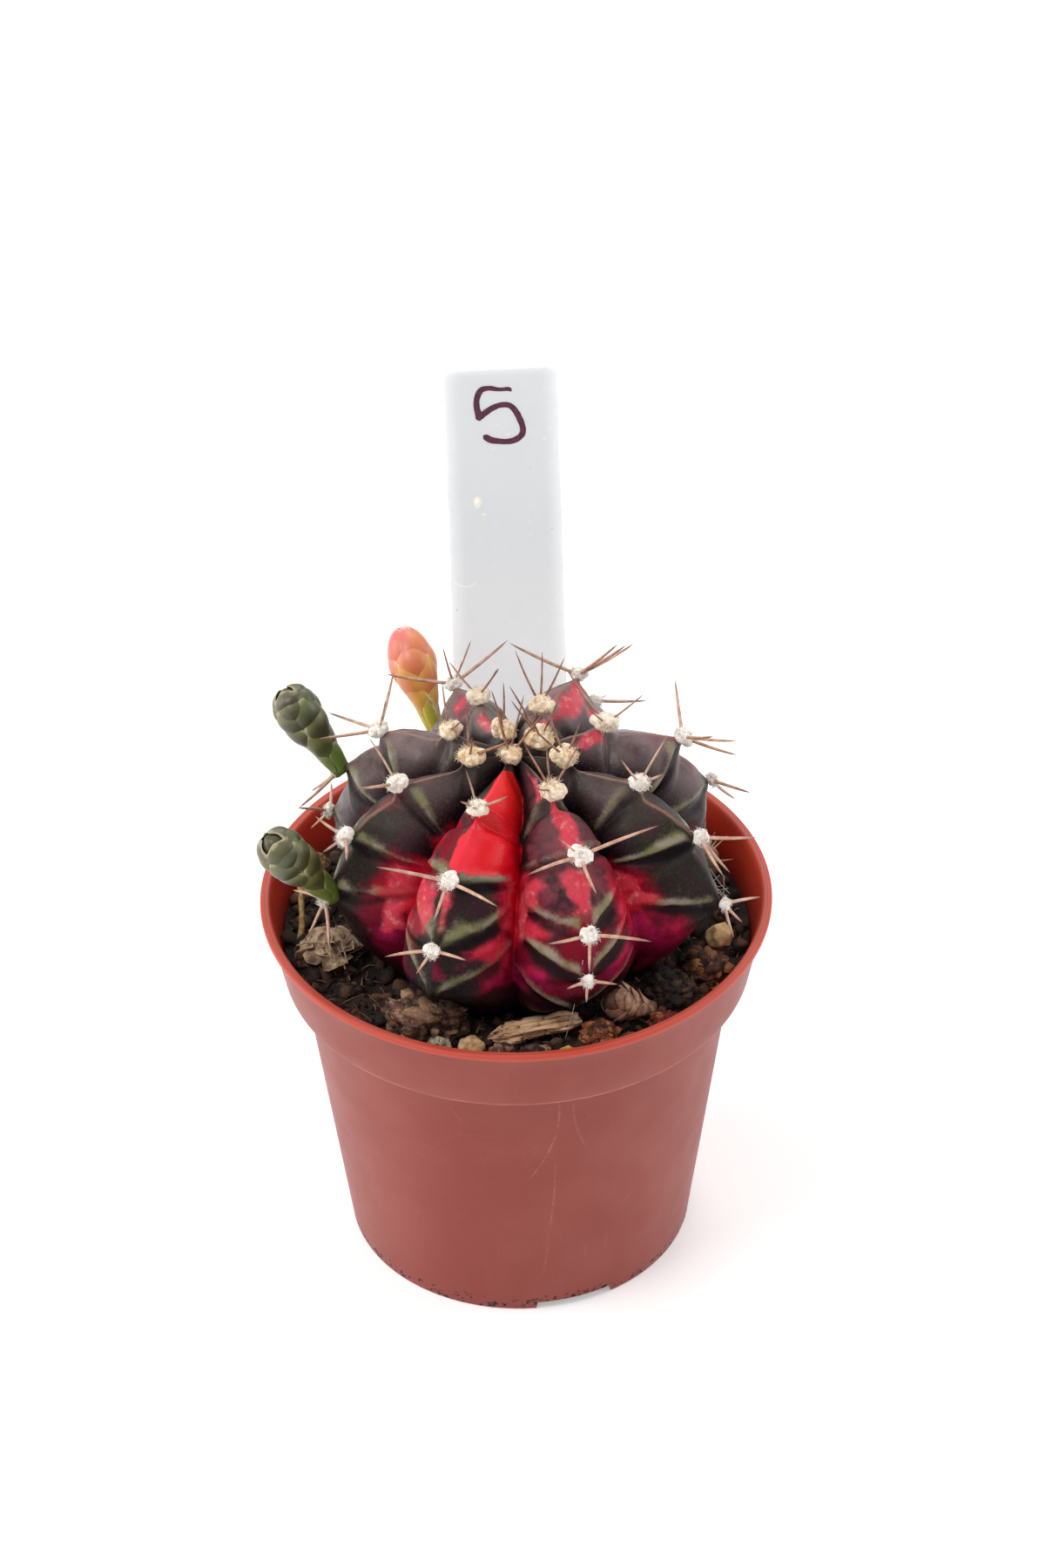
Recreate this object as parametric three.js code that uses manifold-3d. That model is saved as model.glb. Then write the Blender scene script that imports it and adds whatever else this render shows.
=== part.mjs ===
// A potted moon cactus: a ribbed, spiny globe on its own root, in peat, in a plastic nursery pot,
// with three flower buds, a hand-cut label behind it and bits of bark and stone on the soil.
// Millimetres, +Z up. The origin is on the ground, on the axis of the pot. Azimuths are in
// degrees about that axis: 0 is the front (-Y) and 90 is the right (+X).
import * as THREE from 'three';
import { mergeVertices } from 'three/addons/utils/BufferGeometryUtils.js';
import Module from 'manifold-3d';

const wasm = await Module();
wasm.setup();

// ---------------------------------------------------------------- driving dimensions

// The pot.
const POT_HEIGHT = 67.2;
const POT_LIP_RADIUS = 42.5;
const POT_LIP_HEIGHT = 1.2;
const POT_LIP_WIDTH = 1.5;
const POT_BAND_TOP_RADIUS = 41.5;
const POT_BAND_FOOT_RADIUS = 39.1;
const POT_BAND_FOOT_Z = 54.1;
const POT_WALL_TOP_RADIUS = 36.25;
const POT_FOOT_RADIUS = 29.1;
const POT_WALL = 0.95;
const POT_FOOT_RISE = 2;
const POT_FOOT_RING = 2.2;
const POT_FLOOR = 1.2;
const POT_SIDES = 48;
const FOOT_NOTCH = { width: 14, height: 1.6, azimuths: [18, 138, 258] };
const DRAIN_HOLE = { radius: 3, ring: 17, azimuths: [-42, 78, 198] };

// The soil and the clear gap that every neighbour keeps.
const GAP = 0.3;
const SOIL_Z = 59;
const SOIL_RELIEF = 0.9;
const SOIL_RINGS = 9;

// The plant. Each profile runs [radius, height] from the apex to the soil.
const RIB_STEP = 45;
const CREST_PROFILE = [
  [0, 95.4], [4, 96.6], [8.5, 96.8], [15.5, 96.3], [21, 95.2], [26.5, 92.3], [30, 89.3],
  [32.4, 85.8], [34.4, 81.5], [35.5, 77], [35.7, 73], [33.9, 69.2], [29.8, 65.6], [26.8, 62],
  [24.8, 58.5], [23.4, 55],
];
const GROOVE_PROFILE = [
  [0, 95.4], [3.2, 93.2], [8.5, 90.6], [15, 87.4], [19.5, 84], [23.7, 79], [26, 75.4],
  [27, 71], [26.6, 67.4], [24.9, 64], [22.8, 60], [21.8, 56],
];
const BODY_ROWS = 36;
const FLANK_STEPS = [0, 0.16, 0.5, 0.82];
const ROOT_PROFILE = [[0, 58], [14, 57], [12.5, 51], [7, 45], [4, 36], [0, 27]];

// The ribs, in turn round the plant. Azimuth holds 30 mm from the apex, and sweep is how far the
// crest turns in 20 mm more. Reach widens or narrows the lower part of a rib. Areoles are the
// distances of its wool tufts from the apex, along its crest, and bare counts the last of them
// that are only points of the crest, with no wool. The groove after a rib can turn, too: see
// turns, of distances from the apex and degrees.
const RIBS = [
  { name: 'A', azimuth: -21.7, sweep: -1.2, reach: 1, areoles: [2.5, 17, 30.4, 41.5, 50.5], bare: 1,
    turns: [[6, 14], [12, 10], [19, 4.5], [26, 2.8], [32, 0.7], [44, -1]] },
  { name: 'B', azimuth: 22.3, sweep: -5, reach: 0.99, areoles: [13.4, 26.8, 39.2, 46.8, 56], bare: 1,
    turns: [[12, 4], [20, 1.7], [45, 1.7]] },
  { name: 'C', azimuth: 67.5, sweep: 0, reach: 1, areoles: [9.2, 21.9, 34.8, 47.8] },
  { name: 'D', azimuth: 112.5, sweep: 0, reach: 0.99, areoles: [5, 16.5, 31.9, 43.5] },
  { name: 'E', azimuth: 157.5, sweep: 0, reach: 1.03, areoles: [11.8, 29, 41.5, 51] },
  { name: 'F', azimuth: 202.5, sweep: 0, reach: 0.9, areoles: [4.8, 15.3, 28.2, 45],
    turns: [[8, -2], [16, -7], [40, -9]] },
  { name: 'G', azimuth: 247.5, sweep: 0, reach: 0.91, areoles: [11.5, 25.2, 37.5, 48] },
  { name: 'H', azimuth: 292.5, sweep: 0, reach: 0.92, areoles: [8, 21, 34.3, 44.5],
    turns: [[20, 2.3], [40, 2]] },
];
// The crest drops below each areole, to a share of the way to the next one and no deeper than
// the most. Flanks bulge between crest and groove, by distance from the apex.
const SAW_DEPTH = 0.13;
const SAW_MOST = 1.75;
const FLANK_BULGE = [[0, 0], [8, 0.3], [18, 1], [27, 2], [40, 2.4], [52, 1.6], [66, 0.5]];
// Folds start level with the areoles and sweep down the flank, or up where this is negative.
const FOLD_SWEEP = [[5, 8], [13, 8.5], [21, 3.5], [30, 0], [35, -3.8], [40, -7.3], [50, -8]];
const FOLD_DEPTH = 1.1;
const FOLD_RIDGE = 0.45;
const REACH_FROM = 12;
const REACH_TO = 40;
const WOOL_RADIUS = 1.65;
const WOOL_FLATNESS = 0.8;
const WOOL_RISE = 0.35;
const WOOL_SLIP = 2.1;
const SPINE_ROOT_RADIUS = 0.36;
const SPINE_ROOT_REACH = 0.7;
const SPINE_BOW = 0.07;

// Spines of one areole, inside its wool at the root: [turn, rise, length]. Turn is measured round
// the areole from the way down the rib towards the right, rise is the angle out from the skin.
// An areole that isn't in the table takes the fan of its part of the plant.
const FANS = {
  A1: [[-140, 41, 5.5], [98, 30, 5.6], [-60, 35, 2.6], [10, 43, 3.4]],
  A2: [[-85, 20, 10.7], [76, 15, 10.3], [6, 25, 7.6]],
  A3: [[-75, 17, 6.9], [97, 17, 6.5], [-22, 30, 3.8]],
  B0: [[108, 44, 8.6], [-53, 37, 7], [-140, 56, 8.5], [165, 50, 6]],
  B1: [[88, 21, 12.5], [-79, 19, 11.2], [-10, 27, 9], [-124, 40, 5.4]],
  B2: [[-99, 20, 8.2], [74, 15, 9.1], [-21, 25, 5.6]],
  B3: [[-99, 22, 4], [81, 20, 4.1], [-20, 30, 2.8]],
  C0: [[-128, 50, 8.6], [74, 52, 5.6], [160, 60, 8]],
  C1: [[-130, 44, 8.6], [90, 41, 8.1], [40, 32, 3.4]],
  C2: [[48, 20, 10], [-10, 14, 6.8], [-63, 30, 9.6]],
  C3: [[67, 22, 7.6], [24, 16, 5.2], [-35, 22, 5]],
  D1: [[131, 40, 10], [-8, 40, 7], [-155, 42, 5.5]],
  D2: [[98, 25, 10], [0, 22, 9.7], [-72, 22, 10], [-113, 22, 11]],
  D3: [[-100, 19, 8.5], [22, 17, 11]],
  E0: [[60, 44, 9], [20, 44, 8], [-30, 55, 8]],
  E1: [[110, 8, 12], [-38, 33, 11], [-128, 26, 12.5], [-140, 22, 14]],
  E2: [[-77, 20, 8], [80, 20, 8], [0, 44, 5]],
  F3: [[-30, 16, 4.5], [64, 8, 8.5], [2, 12, 6.5]],
  F0: [[10, 54, 6], [-20, 56, 7], [150, 62, 9]],
  F1: [[-79, 36, 5], [33, 41, 6.7], [-165, 50, 9]],
  G0: [[-60, 42, 7.2], [-24, 39, 6], [134, 40, 8]],
  G1: [[-98, 24, 9.8], [-14, 21, 9.6], [48, 23, 9.5], [165, 42, 7]],
  G3: [[122, 22, 7], [-88, 18, 7], [4, 30, 5]],
  H0: [[74, 52, 9.5], [127, 34, 9], [-110, 56, 8]],
  H1: [[18, 34, 7.6], [-88, 38, 8]],
  H2: [[-80, 15, 6.4], [92, 21, 9], [-12, 16, 4]],
};
const FAN_APEX = [[-120, 58, 8], [115, 55, 9], [-20, 62, 7], [175, 66, 9]];
const FAN_UPPER = [[-105, 35, 9], [100, 32, 10], [-155, 52, 8], [5, 40, 7]];
const FAN_MIDDLE = [[-92, 20, 10.5], [88, 18, 10.5], [-150, 44, 8], [0, 26, 8.5]];
const FAN_LOWER = [[-88, 16, 8], [86, 15, 8], [4, 26, 6.5]];
const FAN_ABOVE_BUD = [[-92, 20, 11], [88, 18, 11], [-150, 44, 8], [160, 44, 8]];
const FAN_OVER_RIM = [[-88, 20, 7], [86, 20, 7], [4, 66, 4]];
const FAN_UNDER_BUD = [[-66, 8, 8.5], [64, 8, 8.5], [2, 12, 6.5]];

// Scales of the buds: as shares of the bud's length, and their height in millimetres.
const SCALES_PER_ROW = 5;
const SCALE_START = 0.08;
const SCALE_SPAN = 0.84;
const SCALE_LENGTH = 0.34;
const SCALE_HEIGHT = 1;
const BUD_SINK = 0.8;

// Buds: base and tip, as [azimuth, radius, height].
const BUDS = [
  { name: 'bud_green_lower', rib: 'H', areole: 3, base: [292.5, 32.6, 77.4], tip: [292.5, 43.2, 92.1],
    stalkRadius: 2.2, headRadius: 3.7, rows: 4, rings: 16, colour: 0x5f7a4a },
  { name: 'bud_green_upper', rib: 'G', areole: 2, base: [247.5, 31.2, 84.5], tip: [247.5, 41.2, 98],
    stalkRadius: 2.1, headRadius: 3.7, rows: 4, rings: 16, colour: 0x5f7a4a },
  { name: 'bud_pink', rib: 'F', areole: 3, base: [206, 29.9, 80.7], tip: [206, 43.1, 93.9],
    stalkRadius: 2.3, headRadius: 4.3, rows: 4, rings: 16, colour: 0xe8928a },
];

// The label, leaning back behind the plant.
const LABEL = { pivotY: 33, pivotZ: 60, lean: 5, thickness: 0.6 };
const LABEL_OUTLINE = [
  [-10.6, 84], [7.9, 84.7], [8.7, 50], [9.3, 20], [9.5, -9], [0.8, -28], [-1.2, -28],
  [-9.9, -9], [-10, 25], [-10.2, 50],
];

// Lumps bedded in the soil: centre, half sizes, turn, roughness and fineness.
const LUMPS = [
  { name: 'bark_lump', at: [-14.8, -26.2, 61.6], half: [6, 4.2, 4], turn: 12, rough: 0.22, detail: 2,
    colour: 0x5a4434 },
  { name: 'speckled_stone', at: [-13, -32.2, 60.4], half: [2.4, 2, 2.4], turn: 30, rough: 0.12,
    detail: 1, colour: 0x8d8a80 },
  { name: 'tan_stone_front', at: [-7.6, -31.4, 60.2], half: [2.3, 1.9, 2.1], turn: -20, rough: 0.12,
    detail: 1, colour: 0xb08a5c },
  { name: 'peat_chip_left', at: [-2.6, -33.2, 59.9], half: [2.3, 1.6, 1.5], turn: 15, rough: 0.25,
    detail: 1, colour: 0x33261f },
  { name: 'peat_chip_right', at: [3, -33.4, 59.9], half: [2.5, 1.5, 1.5], turn: -10, rough: 0.25,
    detail: 1, colour: 0x33261f },
  { name: 'yellow_stone', at: [7.9, -33.6, 60], half: [1.9, 1.5, 1.6], turn: 0, rough: 0.12,
    detail: 1, colour: 0xb79a4e },
  { name: 'crumbly_bark', at: [12.9, -30.6, 60.8], half: [2.6, 3.1, 2.8], turn: -28, rough: 0.28,
    detail: 2, colour: 0x8a5a34 },
  { name: 'dry_petal', at: [23.6, -26.2, 60.4], half: [2.9, 1.8, 1.8], turn: 35, rough: 0.25,
    detail: 1, colour: 0x9c4a35 },
  { name: 'peat_lump', at: [25.4, -18.8, 60.4], half: [3.6, 3.2, 3], turn: 20, rough: 0.3, detail: 2,
    colour: 0x3a2a20 },
  { name: 'red_chunk', at: [31.2, -13, 60.6], half: [3.1, 3, 2.9], turn: 60, rough: 0.26, detail: 2,
    colour: 0x7a4330 },
  { name: 'tan_stone_right', at: [33.6, -4.6, 60.6], half: [2.7, 2.3, 2.4], turn: 70, rough: 0.12,
    detail: 1, colour: 0xb58c5a },
  { name: 'tan_chip_left', at: [-33.6, 14.8, 61], half: [2.3, 1.7, 3.2], turn: 25, rough: 0.2,
    detail: 1, colour: 0xa88358 },
];
const WOOD_CHIP = { at: [2.6, -28.6, 61.6], length: 15, width: 3.6, thickness: 2.2, turn: 10, tilt: 6 };
const DRY_STALK = { from: [-36.2, -4.4, 59.5], to: [-35.4, 3.2, 66.5], radius: 0.55 };
const DRY_FLOWER = { at: [-31, -7.6, 60.4], half: [5.4, 5, 2.6], scales: 15, scaleLength: 4.6 };
const DRY_SCALY_BUD = { from: [14.6, -24.2, 60.2], to: [22.6, -22.6, 63.4], radius: 2.9 };
const DRY_OFFSET = { at: [31, 13.2, 62.2], half: [3.2, 3.2, 4.2], spines: 14, spineLength: 2.6 };

// ---------------------------------------------------------------- small tools

const radians = THREE.MathUtils.degToRad;
const group = new THREE.Group();

// A repeatable draw in 0..1 from three whole numbers.
function draw(i, j, k) {
  let h = Math.imul(i + 1013, 374761393) ^ Math.imul(j + 7919, 668265263);
  h = Math.imul(h ^ (h >>> 13), 1274126177) ^ Math.imul(k + 101, 2246822519);
  h = Math.imul(h ^ (h >>> 15), 3266489917);
  return ((h ^ (h >>> 16)) >>> 0) / 4294967296;
}

// Smooth noise in -1..1 over space.
function noise(x, y, z) {
  const [i, j, k] = [Math.floor(x), Math.floor(y), Math.floor(z)];
  const ease = (t) => t * t * (3 - 2 * t);
  const [u, v, w] = [ease(x - i), ease(y - j), ease(z - k)];
  let sum = 0;
  for (const a of [0, 1]) {
    for (const b of [0, 1]) {
      for (const c of [0, 1]) {
        const weight = (a ? u : 1 - u) * (b ? v : 1 - v) * (c ? w : 1 - w);
        sum += weight * draw(i + a, j + b, k + c);
      }
    }
  }
  return 2 * sum - 1;
}

function polar(azimuth, radius, z) {
  const angle = radians(azimuth);
  return new THREE.Vector3(radius * Math.sin(angle), -radius * Math.cos(angle), z);
}

// A closed geometry as a solid that can be joined and cut.
function solid(geometry) {
  const bare = geometry.clone();
  bare.deleteAttribute('normal');
  bare.deleteAttribute('uv');
  const merged = mergeVertices(bare, 1e-4);
  const faces = [];
  const index = merged.index.array;
  for (let i = 0; i < index.length; i += 3) {
    const [a, b, c] = [index[i], index[i + 1], index[i + 2]];
    if (a !== b && b !== c && c !== a) faces.push(a, b, c);
  }
  const vertProperties = merged.attributes.position.array;
  const triVerts = new Uint32Array(faces);
  return new wasm.Manifold(new wasm.Mesh({ numProp: 3, vertProperties, triVerts }));
}

function geometryOf(manifold) {
  const mesh = manifold.getMesh();
  const geometry = new THREE.BufferGeometry();
  const positions = new THREE.BufferAttribute(new Float32Array(mesh.vertProperties), 3);
  geometry.setAttribute('position', positions);
  geometry.setIndex(new THREE.BufferAttribute(new Uint32Array(mesh.triVerts), 1));
  geometry.computeVertexNormals();
  return geometry;
}

// The largest piece of a cut solid, without the loose scraps.
function largest(manifold) {
  const pieces = manifold.decompose();
  return pieces.reduce((best, piece) => (piece.volume() > best.volume() ? piece : best));
}

function addPiece(name, manifold, colour, roughness) {
  const material = new THREE.MeshStandardMaterial({ color: colour, roughness, metalness: 0 });
  const mesh = new THREE.Mesh(geometryOf(manifold), material);
  mesh.name = name;
  group.add(mesh);
}

// A geometry that stands along +Y, turned so that it runs from one point towards another.
function standAlong(geometry, from, direction) {
  const up = new THREE.Vector3(0, 1, 0);
  geometry.applyQuaternion(new THREE.Quaternion().setFromUnitVectors(up, direction));
  geometry.translate(from.x, from.y, from.z);
  return geometry;
}

// ---------------------------------------------------------------- pot

// The inside radius of the wall or the band at a height.
function potInside(z) {
  const ledge = POT_BAND_FOOT_Z + POT_WALL;
  if (z >= ledge) {
    const climb = (z - POT_BAND_FOOT_Z) / (POT_HEIGHT - POT_LIP_HEIGHT - POT_BAND_FOOT_Z);
    return POT_BAND_FOOT_RADIUS - POT_WALL + climb * (POT_BAND_TOP_RADIUS - POT_BAND_FOOT_RADIUS);
  }
  const climb = z / POT_BAND_FOOT_Z;
  return POT_FOOT_RADIUS - POT_WALL + climb * (POT_WALL_TOP_RADIUS - POT_FOOT_RADIUS);
}

function makePot() {
  const lipFoot = POT_HEIGHT - POT_LIP_HEIGHT;
  const floorTop = POT_FOOT_RISE + POT_FLOOR;
  const ledge = POT_BAND_FOOT_Z + POT_WALL;
  const profile = [
    [0, POT_FOOT_RISE],
    [POT_FOOT_RADIUS - POT_FOOT_RING, POT_FOOT_RISE],
    [POT_FOOT_RADIUS - POT_FOOT_RING, 0],
    [POT_FOOT_RADIUS, 0],
    [POT_WALL_TOP_RADIUS, POT_BAND_FOOT_Z],
    [POT_BAND_FOOT_RADIUS, POT_BAND_FOOT_Z],
    [POT_BAND_TOP_RADIUS, lipFoot],
    [POT_LIP_RADIUS, lipFoot + 0.2],
    [POT_LIP_RADIUS, POT_HEIGHT - 0.3],
    [POT_LIP_RADIUS - 0.4, POT_HEIGHT],
    [POT_LIP_RADIUS - POT_LIP_WIDTH, POT_HEIGHT],
    [potInside(lipFoot), lipFoot],
    [potInside(ledge), ledge],
    [potInside(ledge - 0.001), ledge],
    [potInside(floorTop), floorTop],
    [0, floorTop],
  ].map(([r, z]) => new THREE.Vector2(r, z));
  let pot = solid(new THREE.LatheGeometry(profile, POT_SIDES).rotateX(Math.PI / 2));
  for (const azimuth of FOOT_NOTCH.azimuths) {
    const notch = new THREE.BoxGeometry(FOOT_NOTCH.width, 2 * POT_FOOT_RING + 3, 2 * FOOT_NOTCH.height);
    notch.translate(0, -POT_FOOT_RADIUS, 0);
    notch.rotateZ(radians(azimuth));
    pot = pot.subtract(solid(notch));
  }
  for (const azimuth of DRAIN_HOLE.azimuths) {
    const hole = new THREE.CylinderGeometry(DRAIN_HOLE.radius, DRAIN_HOLE.radius, 3 * POT_FLOOR, 16);
    hole.rotateX(Math.PI / 2);
    const at = polar(azimuth, DRAIN_HOLE.ring, POT_FOOT_RISE + POT_FLOOR / 2);
    hole.translate(at.x, at.y, at.z);
    pot = pot.subtract(solid(hole));
  }
  return pot;
}

// ---------------------------------------------------------------- soil

function soilHeight(x, y) {
  const coarse = noise(x / 8, y / 8, 3.3);
  const fine = noise(x / 3.4, y / 3.4, 9.1);
  return SOIL_Z + SOIL_RELIEF * (0.7 * coarse + 0.4 * fine);
}

// The peat as a disc of rings under a rough top, down to the floor of the pot.
function makeSoil(lift) {
  const floorZ = POT_FOOT_RISE + POT_FLOOR + GAP;
  const ledge = POT_BAND_FOOT_Z + POT_WALL + GAP;
  const rows = [];
  for (let i = 1; i <= SOIL_RINGS; i += 1) {
    const share = i / SOIL_RINGS;
    rows.push({ radius: share * (potInside(SOIL_Z) - GAP), z: null });
  }
  rows.push({ radius: potInside(ledge) - GAP, z: ledge });
  rows.push({ radius: potInside(ledge - POT_WALL) - GAP - 0.1, z: ledge });
  rows.push({ radius: potInside(floorZ) - GAP, z: floorZ });
  const positions = [0, 0, soilHeight(0, 0) + lift];
  for (const row of rows) {
    for (let i = 0; i < POT_SIDES; i += 1) {
      const p = polar((i * 360) / POT_SIDES, row.radius, 0);
      positions.push(p.x, p.y, row.z === null ? soilHeight(p.x, p.y) + lift : row.z);
    }
  }
  positions.push(0, 0, floorZ);
  return solid(ringedGeometry(positions, rows.length, POT_SIDES));
}

// Rings of points between a first and a last pole, as one closed surface.
function ringedGeometry(positions, rings, sides) {
  const index = [];
  const at = (ring, side) => 1 + ring * sides + (side % sides);
  const last = 1 + rings * sides;
  for (let i = 0; i < sides; i += 1) {
    index.push(0, at(0, i), at(0, i + 1));
    for (let ring = 0; ring + 1 < rings; ring += 1) {
      index.push(at(ring, i), at(ring + 1, i), at(ring + 1, i + 1));
      index.push(at(ring, i), at(ring + 1, i + 1), at(ring, i + 1));
    }
    index.push(at(rings - 1, i), last, at(rings - 1, i + 1));
  }
  const geometry = new THREE.BufferGeometry();
  geometry.setAttribute('position', new THREE.Float32BufferAttribute(positions, 3));
  geometry.setIndex(index);
  return geometry;
}

// ---------------------------------------------------------------- plant

const toCurve = (profile) => new THREE.SplineCurve(profile.map(([r, z]) => new THREE.Vector2(r, z)));
const crestCurve = toCurve(CREST_PROFILE);
const grooveCurve = toCurve(GROOVE_PROFILE);
const crestLength = crestCurve.getLength();

// The value at x of a table of places and values.
function table(rows, x) {
  const after = rows.findIndex(([place]) => place >= x);
  if (after === 0) return rows[0][1];
  if (after < 0) return rows[rows.length - 1][1];
  const [low, high] = [rows[after - 1], rows[after]];
  return THREE.MathUtils.mapLinear(x, low[0], high[0], low[1], high[1]);
}

// Where a place on a crest lies between two areoles, and how deep the skin drops between them.
function saw(rib, along) {
  const stops = [-8, ...rib.areoles, crestLength + 6];
  const after = Math.max(1, stops.findIndex((place) => place >= along));
  const gap = stops[after] - stops[after - 1];
  const share = THREE.MathUtils.clamp((along - stops[after - 1]) / gap, 0, 1);
  const drop = 1.35 * (1 - share) ** 1.3 * THREE.MathUtils.smoothstep(share, 0, 0.22);
  const depth = Math.min(SAW_MOST, SAW_DEPTH * gap) * Math.min(1, along / 16);
  return { share, gap, drop, depth };
}

// How far the crest stands above its plain profile: a point at each areole, a sudden drop below
// it and a climb to the next.
function crestLift(rib, along) {
  const nearest = Math.min(...rib.areoles.map((place) => Math.abs(place - along)));
  const { drop, depth } = saw(rib, along);
  return 0.55 * Math.exp(-((nearest / 1.7) ** 2)) - drop * depth;
}

// Where the fold through a point of the skin meets the crest.
function foldPlace(across, along) {
  let start = along;
  for (let i = 0; i < 14; i += 1) start = along - table(FOLD_SWEEP, start) * across ** 1.3;
  return start;
}

// How far the skin of a flank stands out: its bulge, the swelling between two folds, and the
// ridge and the crease of a fold.
function flankRise(rib, across, along) {
  const { share, gap, depth } = saw(rib, foldPlace(across, along));
  const bulge = table(FLANK_BULGE, along) * Math.sin(Math.PI * across ** 1.25);
  const puff = Math.sin(Math.PI * share ** 0.8) * Math.sin(Math.PI * across ** 0.8) * depth * 0.45;
  const [below, above] = [share * gap, (1 - share) * gap];
  const crease = Math.exp(-(((below - 0.5) / 1.1) ** 2)) + Math.exp(-(((above + 0.5) / 1.1) ** 2));
  const ridge = Math.exp(-(((above - 1.3) / 0.9) ** 2));
  const start = THREE.MathUtils.smoothstep(across, 0, 0.2);
  const fade = (start * (1 - THREE.MathUtils.smoothstep(across, 0.65, 1)) * depth) / SAW_MOST;
  return bulge + puff - (FOLD_DEPTH * Math.min(crease, 1) - FOLD_RIDGE * ridge) * fade;
}

// How much wider than the plain profile the plant is, for a rib or between two ribs.
function reachAt(reach, along) {
  return 1 + (reach - 1) * THREE.MathUtils.smoothstep(along, REACH_FROM, REACH_TO);
}

// A point and the outward direction of a rib's crest, at a distance from the apex.
function crestFrame(rib, along) {
  const share = Math.min(1, along / crestLength);
  const point = crestCurve.getPointAt(share);
  const tangent = crestCurve.getTangentAt(share);
  const lift = crestLift(rib, along);
  const azimuth = rib.azimuth + (rib.sweep * (along - 30)) / 20;
  const down = polar(azimuth, tangent.x, tangent.y);
  const out = polar(azimuth, -tangent.y, tangent.x);
  const radius = point.x * reachAt(rib.reach, along) - tangent.y * lift;
  const place = polar(azimuth, radius, point.y + tangent.x * lift);
  return { place, down, out, right: out.clone().cross(down) };
}

// The skin between a rib's crest (side 0) and the groove on either side of it (side -1 or 1).
function skinPoint(rib, side, share) {
  const along = share * crestLength;
  const { place, down } = crestFrame(rib, along);
  if (side === 0) return place;
  const hand = Math.sign(side);
  const low = grooveCurve.getPointAt(share);
  const number = RIBS.indexOf(rib);
  const next = RIBS[(number + hand + RIBS.length) % RIBS.length];
  const { turns } = hand > 0 ? rib : next;
  const turn = turns ? table(turns, along) : 0;
  const width = low.x * reachAt((rib.reach + next.reach) / 2, along);
  const groove = polar(RIB_STEP * (number - 0.5 + hand / 2) + turn, width, low.y);
  const face = down.clone().cross(groove.clone().sub(place)).normalize();
  const rise = flankRise(rib, Math.abs(side), along);
  return place.lerp(groove, Math.abs(side)).addScaledVector(face, hand * rise);
}

function bodyGeometry() {
  const columns = [];
  for (const rib of RIBS) {
    for (const step of [...FLANK_STEPS].reverse()) columns.push([rib, -step]);
    for (const step of FLANK_STEPS.slice(1)) columns.push([rib, step]);
    columns.push([rib, 1]);
  }
  const apex = crestCurve.getPointAt(0);
  const positions = [0, 0, apex.y];
  for (let row = 1; row <= BODY_ROWS; row += 1) {
    for (const [rib, side] of columns) {
      const p = skinPoint(rib, side, row / BODY_ROWS);
      positions.push(p.x, p.y, p.z);
    }
  }
  positions.push(0, 0, CREST_PROFILE[CREST_PROFILE.length - 1][1]);
  return ringedGeometry(positions, BODY_ROWS, columns.length);
}

// The same surface moved out along its normals, which leaves a neighbour clear of it.
function grown(geometry, distance) {
  const copy = mergeVertices(geometry, 1e-4);
  copy.computeVertexNormals();
  const position = copy.attributes.position;
  const normal = copy.attributes.normal;
  for (let i = 0; i < position.count; i += 1) {
    position.setXYZ(
      i,
      position.getX(i) + distance * normal.getX(i),
      position.getY(i) + distance * normal.getY(i),
      position.getZ(i) + distance * normal.getZ(i),
    );
  }
  copy.deleteAttribute('normal');
  return copy;
}

// A three-sided spine that starts at its root and bows a little towards its back.
function makeSpine(root, direction, back, length, radius) {
  const cone = new THREE.ConeGeometry(radius, length, 3, 2);
  cone.translate(0, length / 2, 0);
  standAlong(cone, root, direction);
  const position = cone.attributes.position;
  for (let i = 0; i < position.count; i += 1) {
    const p = new THREE.Vector3().fromBufferAttribute(position, i);
    const far = p.clone().sub(root).dot(direction) / length;
    p.addScaledVector(back, SPINE_BOW * length * far * far);
    position.setXYZ(i, p.x, p.y, p.z);
  }
  return solid(cone);
}

// Where the wool of an areole sits: under the bud, on an areole that bears one.
function woolCentre(rib, along) {
  const { place, down, out } = crestFrame(rib, along);
  const slip = bearsBud(rib, along) ? WOOL_SLIP : 0;
  return place.clone().addScaledVector(out, WOOL_RISE).addScaledVector(down, slip);
}

function bearsBud(rib, along) {
  return BUDS.some((bud) => bud.rib === rib.name && rib.areoles[bud.areole] === along);
}

function woolTuft(rib, along, extra, detail) {
  const wool = new THREE.IcosahedronGeometry(WOOL_RADIUS + extra, detail);
  wool.scale(1, WOOL_FLATNESS, 1);
  return solid(standAlong(wool, woolCentre(rib, along), crestFrame(rib, along).out));
}

function fanAt(rib, along) {
  const n = rib.areoles.indexOf(along);
  if (FANS[rib.name + n]) return FANS[rib.name + n];
  if (bearsBud(rib, along)) return FAN_UNDER_BUD;
  if (bearsBud(rib, rib.areoles[n + 1])) return FAN_ABOVE_BUD;
  if (along < 11) return FAN_APEX;
  if (along < 23) return FAN_UPPER;
  if (along < 36) return FAN_MIDDLE;
  return along > 49 ? FAN_OVER_RIM : FAN_LOWER;
}

function areoleSolids(rib, along) {
  const { down, out, right } = crestFrame(rib, along);
  const centre = woolCentre(rib, along);
  const solids = [woolTuft(rib, along, 0, 0)];
  for (const [turn, rise, length] of fanAt(rib, along)) {
    const [angle, climb] = [radians(turn), radians(rise)];
    const direction = out.clone().multiplyScalar(Math.sin(climb));
    direction.addScaledVector(down, Math.cos(climb) * Math.cos(angle));
    direction.addScaledVector(right, Math.cos(climb) * Math.sin(angle));
    const root = centre.clone().addScaledVector(direction, SPINE_ROOT_REACH);
    solids.push(makeSpine(root, direction, out, length, SPINE_ROOT_RADIUS));
  }
  return solids;
}

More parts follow.
